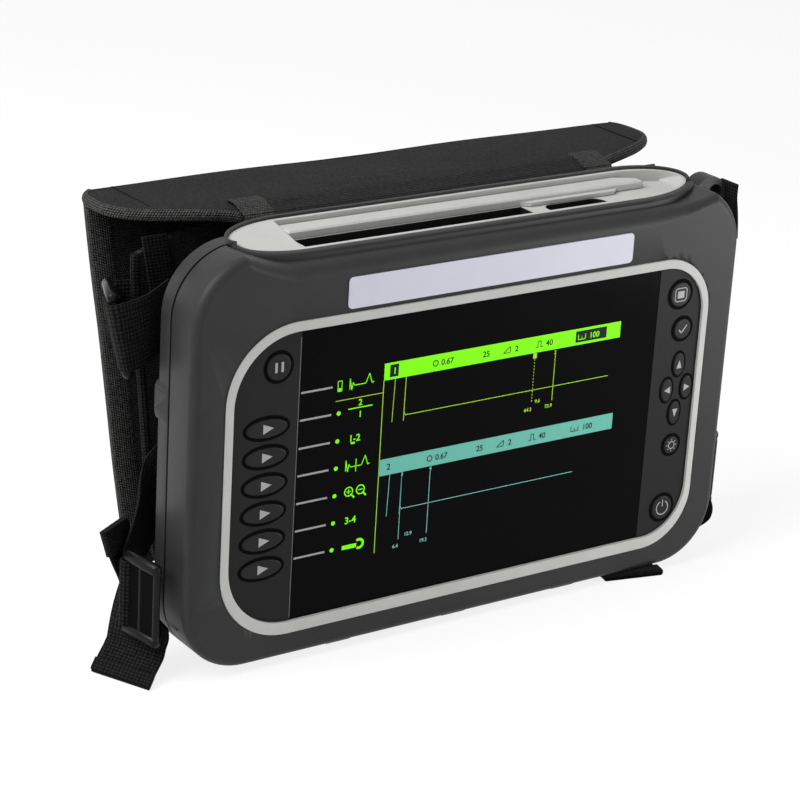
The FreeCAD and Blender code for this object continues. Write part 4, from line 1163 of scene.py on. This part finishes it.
# %% [markdown]
# ## Lower straps
# Two long straps come from behind the case to the lower slides, and each has a free tail that falls
# to the floor and ends in a folded hem. On the left the tail lies outward and a short stub stands
# up behind it. On the right the tail runs under the case and shows in front of it.

# %% Lower straps
TAIL_OUT = 4.0
TAIL_FROM, TAIL_LEAVES = -4.0, -21.0
FOLD_RISE = 0.9
FOLD_RUN = 5.5
FOLD_T = 3.0


def low_strap(at):
    """The strap from behind the case to its slide, wrapped round the rear bar."""
    wrap = wrap_rear(at)
    bend = mm(-129.0, 27.2, 66.5)
    first = [mm(-104.0, 29.0, 91.0), mm(-115.0, 29.0, 81.0), bend]
    first += [bend.lerp(wrap[0], 0.4), bend.lerp(wrap[0], 0.75)]
    sides = [(-0.94, 0, 0.34), (-0.94, 0, 0.34), (-0.54, -0.15, 0.8), (-0.27, -0.2, 0.94), (-0.1, -0.1, 1)]
    return strap(first + wrap, [Vector(side) for side in sides] + [UP] * len(wrap), 5, square=False)


def tail(at, drift, points, sides):
    """The free end, from the inner side of the slide down to the floor, with a folded hem."""
    along = at(0, -1) - at(0, 0)
    top = [at(TAIL_OUT, drift / 4, TAIL_FROM), at(TAIL_OUT, drift, TAIL_LEAVES)]
    slanted = along.normalized() - 0.7 * UP
    lie = strap(top + points, [slanted, along] + sides, 6, square=False)
    rise = UP * FOLD_RISE * MM
    end = points[-1] + rise
    start = end + (points[-2] + rise - end).normalized() * FOLD_RUN * MM
    hem = carried(strap_outline(STRAP_W + 0.4, FOLD_T), stations([start, end], [sides[-1]] * 2, False))
    return joined(lie, hem)


TAIL_TURN = 25.8
STUB_W = 25.0
left_points = [mm(-155.3, -4.3, 10.5), mm(-160.0, -6.2, 5.0), mm(-165.0, -10.0, 0.9)]
left_tail = tail(slide_place(LOW_LEFT, TAIL_TURN), 4.5, left_points, [Vector((0.435, -0.9, 0))] * 3)
stub_side = Vector((0.756, 0.64, -0.13))
stub_spots = [(-146.6, 12.0, 32.0), (-148.8, 13.0, 39.1), (-153.3, 13.0, 49.8), (-156.9, 13.0, 62.0)]
stub_points = [mm(*spot) for spot in stub_spots]
stub = strap(stub_points, [stub_side] * 4, 6, STUB_W, square=False)
stub_hem = carried(strap_outline(STUB_W + 1.0, 3.2), stations(stub_points[2:], [stub_side] * 2, False))
shape = joined(low_strap(at_low_left), left_tail, stub, stub_hem)
webbing_piece("strap_lower_left_webbing", shape, "strap_lower_left")
right_spots = [(-150.0, 0.5, 12.5), (-146.0, 4.5, 7.8), (-138.5, 9.0, 4.2), (-128.0, 11.0, 1.9),
               (-117.0, 9.0, 1.0), (-108.0, 0.5, 0.95), (-102.0, -12.0, 0.95), (-98.2, -28.8, 0.95)]
right_sides = [(-0.3, -0.95), (-0.2, -1), (-0.1, -1), (-0.1, -1), (-0.47, -0.88), (-0.81, -0.58),
               (-0.95, -0.32), (-0.975, -0.22)]
right_points = [mm(*spot) for spot in right_spots]
right_tail = tail(at_low_right, 0.0, right_points, [Vector((x, y, 0)) for x, y in right_sides])
shape = mirrored(joined(low_strap(at_low_right), right_tail))
webbing_piece("strap_lower_right_webbing", shape, "strap_lower_right")
print("lower straps in place")

# %% [markdown]
# ## Webbing at the corner eye and on the back panel
# A short end of webbing hangs from the eye at the upper right corner, and two slanted strips are
# sewn to the front of the back panel.

# %% Webbing at the corner eye and on the back panel
NARROW_W = 12.0
hang = [(154.1, -5.0, 181.0), (154.1, -5.0, 174.8), (155.4, -4.8, 168.8), (156.8, -4.4, 161.8),
        (157.9, -4.0, 154.5)]
hang_sides = [BACK] * 3 + [Vector((0, 1, 0.03)), Vector((0, 1, 0.06))]
eye_shape = strap([mm(*spot) for spot in hang], hang_sides, 6, NARROW_W)
webbing_piece("eye_strap_webbing", eye_shape, "eye_webbing")
strip_run = [mm(-131.3, 29.5, 182.0), mm(-127.3, 29.5, 161.0), mm(-123.3, 29.5, 140.0)]
strip, twin = (strap(strip_run, [RIGHT] * 3, 6, NARROW_W, square=False) for _ in range(2))
webbing_piece("panel_strips_webbing", joined(strip, mirrored(twin)), "panel_webbing")
print("eye strap and panel strips in place")

# %% [markdown]
# ## Drawing flat marks
# Everything on the display and the keys is a thin flat shape just proud of its ground. A small
# class keeps one bmesh per colour and adds bars, lines, rings and plain numbers to it, in
# millimetres from a middle. At the end the marks are thickened toward the user.

# %% Drawing flat marks
RING_Z = 85.6
INK_THICK = 0.03
FONT_SIZE, FONT_GROW = 1.4, 0.02


class Drawing:
    """Flat marks in one colour on a plane that faces the user."""

    def __init__(self, y, middle=(0.0, RING_Z)):
        self.shape = bmesh.new()
        self.y = y
        self.middle = middle

    def at(self, x, z):
        """The point at x, z from the drawing's middle."""
        return mm(self.middle[0] + x, self.y, self.middle[1] + z)

    def patch(self, corners):
        """A flat patch through corners given as (x, z)."""
        self.shape.faces.new([self.shape.verts.new(self.at(x, z)) for x, z in corners])

    def bar(self, x0, x1, z0, z1):
        """An upright rectangle."""
        self.patch([(x0, z0), (x1, z0), (x1, z1), (x0, z1)])

    def line(self, points, wide, x=0.0, z=0.0):
        """A line of even width through points, moved by x and z."""
        for (x0, z0), (x1, z1) in zip(points, points[1:]):
            far = math.hypot(x1 - x0, z1 - z0)
            px, pz = -(z1 - z0) / far * wide / 2, (x1 - x0) / far * wide / 2
            corners = [(x0 - px, z0 - pz), (x1 - px, z1 - pz), (x1 + px, z1 + pz), (x0 + px, z0 + pz)]
            self.patch([(x + a, z + b) for a, b in corners])

    def disc(self, x, z, r, count=24):
        """A filled disc."""
        turns = [math.radians(360.0 * k / count) for k in range(count)]
        self.patch([(x + r * math.cos(a), z + r * math.sin(a)) for a in turns])

    def ring(self, x, z, outer, inner, start=0.0, sweep=360.0, count=24):
        """A ring or part of one, by its outer and inner half width and half height."""
        turns = [math.radians(start + sweep * k / count) for k in range(count + 1)]
        for a, b in zip(turns, turns[1:]):
            corners = ((inner, a), (outer, a), (outer, b), (inner, b))
            self.patch([(x + q[0] * math.cos(c), z + q[1] * math.sin(c)) for q, c in corners])

    def numbers(self, high, *rows):
        """Plain numbers, each with its lower left corner at x, z."""
        for text, x, z in rows:
            words = bpy.data.curves.new("number", "FONT")
            words.body = text
            words.size = high * FONT_SIZE * MM
            words.fill_mode = "FRONT"
            words.offset = high * FONT_GROW * MM
            holder = bpy.data.objects.new("number", words)
            scene.collection.objects.link(holder)
            bpy.context.view_layer.update()
            graph = bpy.context.evaluated_depsgraph_get()
            flat = bpy.data.meshes.new_from_object(holder.evaluated_get(graph))
            flat.transform(Matrix.Translation(self.at(x, z)) @ Matrix.Rotation(math.pi / 2, 4, "X"))
            self.shape.from_mesh(flat)
            bpy.data.objects.remove(holder)
            bpy.data.meshes.remove(flat)

    def done(self, name, finish, slot="window_black", body=CASE):
        """Thickens the marks toward the user and makes the piece."""
        for face in self.shape.faces:
            face.normal_update()
        turned = [f for f in self.shape.faces if f.normal.y > 0]
        bmesh.ops.reverse_faces(self.shape, faces=turned)
        grown = bmesh.ops.extrude_face_region(self.shape, geom=self.shape.faces[:])["geom"]
        fresh = [g for g in grown if isinstance(g, bmesh.types.BMVert)]
        bmesh.ops.translate(self.shape, verts=fresh, vec=(0, -INK_THICK * MM, 0))
        return finished(name, self.shape, finish, body, crease=20.0)


print("tool: Drawing")

# %% [markdown]
# ## Light of the display
# The marks on a display shine a little. Each colour is a matt finish with a faint flicker of fine
# noise, and a low emission of the same colour, so that the marks stay readable in the shade.


# %% Light of the display
def lit(name, colour, strength):
    """A lit mark on the display."""
    sockets = {"Emission Color": shade(colour), "Emission Strength": strength, "Roughness": 0.5}
    made, tree, shader = material(name, {**sockets, "Specular IOR Level": 0.1})
    tone = ramp(tree, noise(tree, 900.0, 1.0), (0.0, shade(colour, 0.92)), (1.0, shade(colour, 1.05)))
    tree.links.new(tone, shader.inputs["Base Color"])
    return made


LIME = lit("lime_light", (0.15, 0.68, 0.0), 0.38)
DIM_LIME = lit("dim_lime_light", (0.26, 0.46, 0.02), 0.4)
TEAL = lit("teal_light", (0.1, 0.34, 0.28), 0.24)
DIM_TEAL = lit("dim_teal_light", (0.14, 0.36, 0.32), 0.35)
PALE = lit("pale_grey_light", (0.26, 0.26, 0.27), 0.12)
INK = moulded("dark_ink", (0.004, 0.006, 0.003), 0.5, depth=0.0, gloss=0.1)
print("display colours:", [m.name for m in (LIME, DIM_LIME, TEAL, DIM_TEAL, PALE, INK)])

# %% [markdown]
# ## Menu beside the soft keys
# A column of symbols stands beside the soft keys, each with a dot and a pale lead to its key: a
# pulse, a fraction, pairs of leads, a pulse with a cursor, two magnifiers and a spanner. They share
# one drawing with the bright bar over the upper trace.

# %% Menu beside the soft keys
SCREEN_Y = -26.84
BAR_LEFT, BAR_RIGHT = -49.9, 77.9
SYMBOL_LINE = 0.4
key_rows = (38.8, 26.4, 13.7, 1.2, -11.5, -24.2, -36.8)
lime = Drawing(SCREEN_Y)
lime.bar(BAR_LEFT, BAR_RIGHT, 37.5, 45.2)
for rise in key_rows[1:]:
    lime.disc(-72.2, rise, 1.0)
lime.line([(-65.2, 11.6), (-63.2, 11.6)], 0.9)
lime.bar(-67.4, -55.2, 27.2, 27.7)
lime.numbers(2.9, ("2", -62.4, 28.4), ("1", -62.2, 23.0))
lime.numbers(3.2, ("1-2", -66.4, 12.2), ("3-4", -66.4, -25.8))
lime.bar(-67.0, -59.6, -37.9, -35.9)
lime.ring(-58.2, -36.4, (2.6, 2.6), (1.4, 1.4), -120, 250, 20)
for x in (-65.0, -59.0):
    lime.ring(x, -10.8, (2.3, 2.3), (1.75, 1.75))
    lime.line([(1.5, -12.4), (3.0, -14.0)], 0.8, x)
    lime.bar(x - 1.1, x + 1.1, -11.05, -10.55)
lime.bar(-65.25, -64.75, -11.9, -9.7)
lime.line([(-73.2, 36.4), (-73.2, 41.0), (-71.2, 41.0), (-71.2, 36.4), (-73.2, 36.4)], 0.35)
lime.bar(-72.9, -71.5, 36.6, 37.8)
pulse = [(-67.2, 36.4), (-67.2, 41.4), (-66.2, 36.0), (-65.6, 39.4), (-64.8, 38.0), (-59.2, 38.0),
         (-57.4, 42.2), (-56.0, 37.8), (-55.0, 38.2)]
lime.line(pulse, SYMBOL_LINE)
lime.line(pulse, SYMBOL_LINE, z=-37.4)
lime.line([(-62.0, -1.8), (-62.0, 4.0)], SYMBOL_LINE)
lime.done("screen_lime_marks", LIME)
divider = Drawing(SCREEN_Y)
divider.line([(BAR_LEFT, 37.5), (BAR_LEFT, -42.7)], 0.35)
divider.line([(-74.0, 32.1), (-50.0, 32.1)], 0.3)
divider.done("screen_divider", DIM_LIME)
print("menu of", len(key_rows), "rows")

# %% [markdown]
# ## Traces
# The display compares two traces. Each has two start lines, a base line with a small kink, and two
# cursors whose distances stand below them.


# %% Traces
def trace_marks(top, tall, first, end):
    """Start lines and base line of one trace, below its bar."""
    marks = Drawing(SCREEN_Y)
    base = top - tall + 2.2
    kink = [(0.0, 1.4), (0.8, -0.3), (1.4, 0.2), (2.4, 0.0)]
    marks.line([(-44.0, top), (-44.6, top - tall)], 0.28)
    marks.line([(first, top), (first - 0.2, top - tall - 0.4)], 0.32)
    marks.line(kink, 0.3, first, base)
    marks.line([(first + 2.2, base), (end, base)], 0.3)
    return marks


upper = trace_marks(37.5, 19.8, -38.4, 73.0)
for k in range(14):
    upper.line([(30.4, 34.6 - 1.5 * k), (30.4, 33.9 - 1.5 * k)], 0.3)
upper.line([(41.8, 35.0), (41.8, 13.2)], 0.3)
upper.numbers(1.8, ("2", 41.0, 35.2))
upper.numbers(1.7, ("9.6", 32.2, 13.4), ("64.3", 26.6, 10.0), ("73.9", 38.0, 10.0))
upper.bar(29.4, 31.4, 34.8, 37.3)
upper.done("screen_upper_trace", DIM_LIME)
teal = Drawing(SCREEN_Y)
teal.bar(BAR_LEFT, BAR_RIGHT, -6.7, 1.0)
teal.done("screen_teal_bar", TEAL)
lower = trace_marks(-6.7, 19.6, -37.6, 57.0)
lower.line([(-37.6, -8.8), (-37.6, -38.6)], 0.28)
lower.line([(-22.6, -8.8), (-22.6, -38.6)], 0.3)
lower.numbers(1.8, ("3", -38.2, -8.6), ("4", -23.2, -8.6))
lower.numbers(1.7, ("12.9", -34.6, -37.6), ("6.4", -40.4, -42.4), ("19.3", -26.2, -42.4))
lower.done("screen_lower_trace", DIM_TEAL)
print("two traces drawn")

# %% [markdown]
# ## Signs in the bars
# Each bar over a trace holds its settings in dark ink: small signs, each with a plain number. In
# the bright bar two of them are reversed, so a dark patch lies under a bright sign. Every layer
# stands a little further out than the one below.

# %% Signs in the bars
LAYER = INK_THICK + 0.01
SIGN_LINE = 0.35
wedge = [(12.8, 0.0), (16.4, 2.8), (16.4, 0.0), (12.8, 0.0)]
step = [(30.4, 0.0), (31.6, 0.0), (31.6, 2.8), (33.2, 2.8), (33.2, 0.0), (34.4, 0.0)]
scale_sign = [(0.0, 2.4), (0.0, 0.0), (2.0, 0.0), (2.0, 1.6), (2.0, 0.0), (4.0, 0.0), (4.0, 2.4)]
dark = Drawing(SCREEN_Y - LAYER)
dark.bar(-47.0, -42.6, 38.6, 44.2)
dark.bar(52.6, 70.0, 38.7, 44.0)
for rise in (39.9, -4.3):
    dark.numbers(2.7, ("0.67", -20.4, rise), ("25", 1.6, rise), ("2", 19.0, rise), ("40", 36.0, rise))
    dark.line(wedge, SIGN_LINE, z=rise)
    dark.line(step, SIGN_LINE, z=rise)
    dark.ring(-23.4, rise + 1.3, (1.5, 1.5), (1.05, 1.05))
dark.numbers(2.9, ("2", -46.0, -4.3))
dark.numbers(2.7, ("100", 60.6, -4.3))
dark.line(scale_sign, SIGN_LINE, 54.2, -4.2)
dark.done("screen_bar_marks", INK)
on_dark = Drawing(SCREEN_Y - 2 * LAYER)
on_dark.numbers(3.0, ("1", -45.6, 39.8))
on_dark.numbers(2.7, ("100", 60.2, 39.9))
on_dark.line(scale_sign, SIGN_LINE, 54.0, 40.0)
on_dark.done("screen_bar_lime_marks", LIME)
print("two bars filled")

# %% [markdown]
# ## Leads and the edge of the key panel
# A pale printed lead joins each menu row to its soft key, and a thin light line where the left key
# panel meets the window is a painted highlight on the panel's edge.

# %% Leads and the edge of the key panel
PANEL_Y = -27.02
# The printed leads are given the display's faint glow, which is painted light.
leads = Drawing(SCREEN_Y)
for rise in key_rows:
    leads.bar(-91.5, -75.9, rise - 0.45, rise + 0.45)
leads.done("soft_key_leads", PALE)
# Painted highlight: a thin light line on the key panel's edge.
edge_highlight_line = Drawing(PANEL_Y)
edge_highlight_line.bar(-92.75, -92.42, -64.0, 64.0)
edge_highlight_line.done("key_panel_painted_highlight", moulded("painted_edge_highlight", (0.09, 0.09, 0.095), 0.4), "plastic_dark_grey")
print("leads:", len(key_rows))

# %% [markdown]
# ## Moats round the keys
# Every key stands in a gap of the panel, where the black key mat shows and shade falls. A flat ring of
# key-mat black round each key gives that gap, an oval one round the soft keys and the arrow keys; its
# black is partly the mat's own colour and partly painted shade.

# %% Moats round the keys
MOAT_Y = -27.005
MOAT = 1.6
PAD_MOAT = 1.1
round_caps = {"key_hold": 5.8, "key_menu": 5.8, "key_accept": 4.8, "key_light": 4.2, "key_power": 5.8}
soft_keys = ["key_soft_%d" % i for i in range(1, 7)]
arrow_keys = {"key_up": (0, 1), "key_down": (0, -1), "key_left": (-1, 0), "key_right": (1, 0)}
cap_sizes = {key: (r, r) for key, r in round_caps.items()}
cap_sizes.update({key: (10.0, 4.1) for key in soft_keys})
cap_sizes.update({key: (3.2, 5.6) for key in arrow_keys})


def key_middle(key):
    """The middle of a key's face, in millimetres."""
    low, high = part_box(key)
    return (low.x + high.x) / 2 / MM, (low.z + high.z) / 2 / MM


# Rings of key-mat black: the mat's own colour and painted shade in the gaps round the keys.
moat_black_and_shade = Drawing(MOAT_Y, (0.0, 0.0))
for key, (a, b) in cap_sizes.items():
    wide = PAD_MOAT if b > a else MOAT
    moat_black_and_shade.ring(*key_middle(key), (a + wide, b + wide), (a - 0.1, b - 0.1), count=40)
moat_black_and_shade.done("key_moats_mat_and_painted_shade", finishes["silicone_black"], "plastic_dark_grey")
print("moats:", len(cap_sizes))

# %% [markdown]
# ## Symbols on the keys
# Each key carries a printed symbol, in a pale grey ink: arrows on the soft keys and the arrow
# pad, and simple signs on the round ones. Every symbol rides on its own key, so it goes in when
# the key is pressed.

# %% Symbols on the keys
CAP_Y = -27.71
PRINT = moulded("pale_print", (0.3, 0.3, 0.31), 0.5, depth=0.0, drift=0.04, gloss=0.2)
signs = {key: Drawing(CAP_Y, key_middle(key)) for key in soft_keys + list(arrow_keys) + list(round_caps)}
for key in soft_keys:
    signs[key].patch([(-2.0, -2.2), (3.2, 0.0), (-2.0, 2.2)])
for key, (dx, dz) in arrow_keys.items():
    foot_x, foot_z = -1.7 * dx, -1.9 * dz
    foot = [(foot_x + 1.5 * dz, foot_z - 1.7 * dx), (foot_x - 1.5 * dz, foot_z + 1.7 * dx)]
    signs[key].patch([(1.7 * dx, 2.1 * dz)] + foot)
for x in (-1.5, 1.5):
    signs["key_hold"].bar(x - 0.6, x + 0.6, -2.2, 2.2)
corners = [(-3.3, -2.2), (-2.4, -3.1), (2.4, -3.1), (3.3, -2.2)]
border = corners + [(-x, -z) for x, z in corners] + corners[:1]
signs["key_menu"].bar(-1.9, 1.9, -1.7, 1.7)
signs["key_menu"].line(border, 0.45)
signs["key_accept"].line([(-2.2, -0.2), (-0.7, -1.8), (2.3, 1.8)], 0.6)
signs["key_light"].ring(0, 0, (1.9, 1.9), (1.5, 1.5))
for a in (math.radians(45 * k) for k in range(8)):
    signs["key_light"].line([(r * math.cos(a), r * math.sin(a)) for r in (2.3, 3.0)], 0.35)
signs["key_power"].ring(0, 0, (3.6, 3.6), (3.1, 3.1), 115, 310, 32)
signs["key_power"].bar(-0.25, 0.25, 0.6, 4.1)
for key, mark in signs.items():
    mark.done(key + ("_sign" if key in round_caps else "_arrow"), PRINT, "key_grey", key)
print("key symbols:", len(signs))
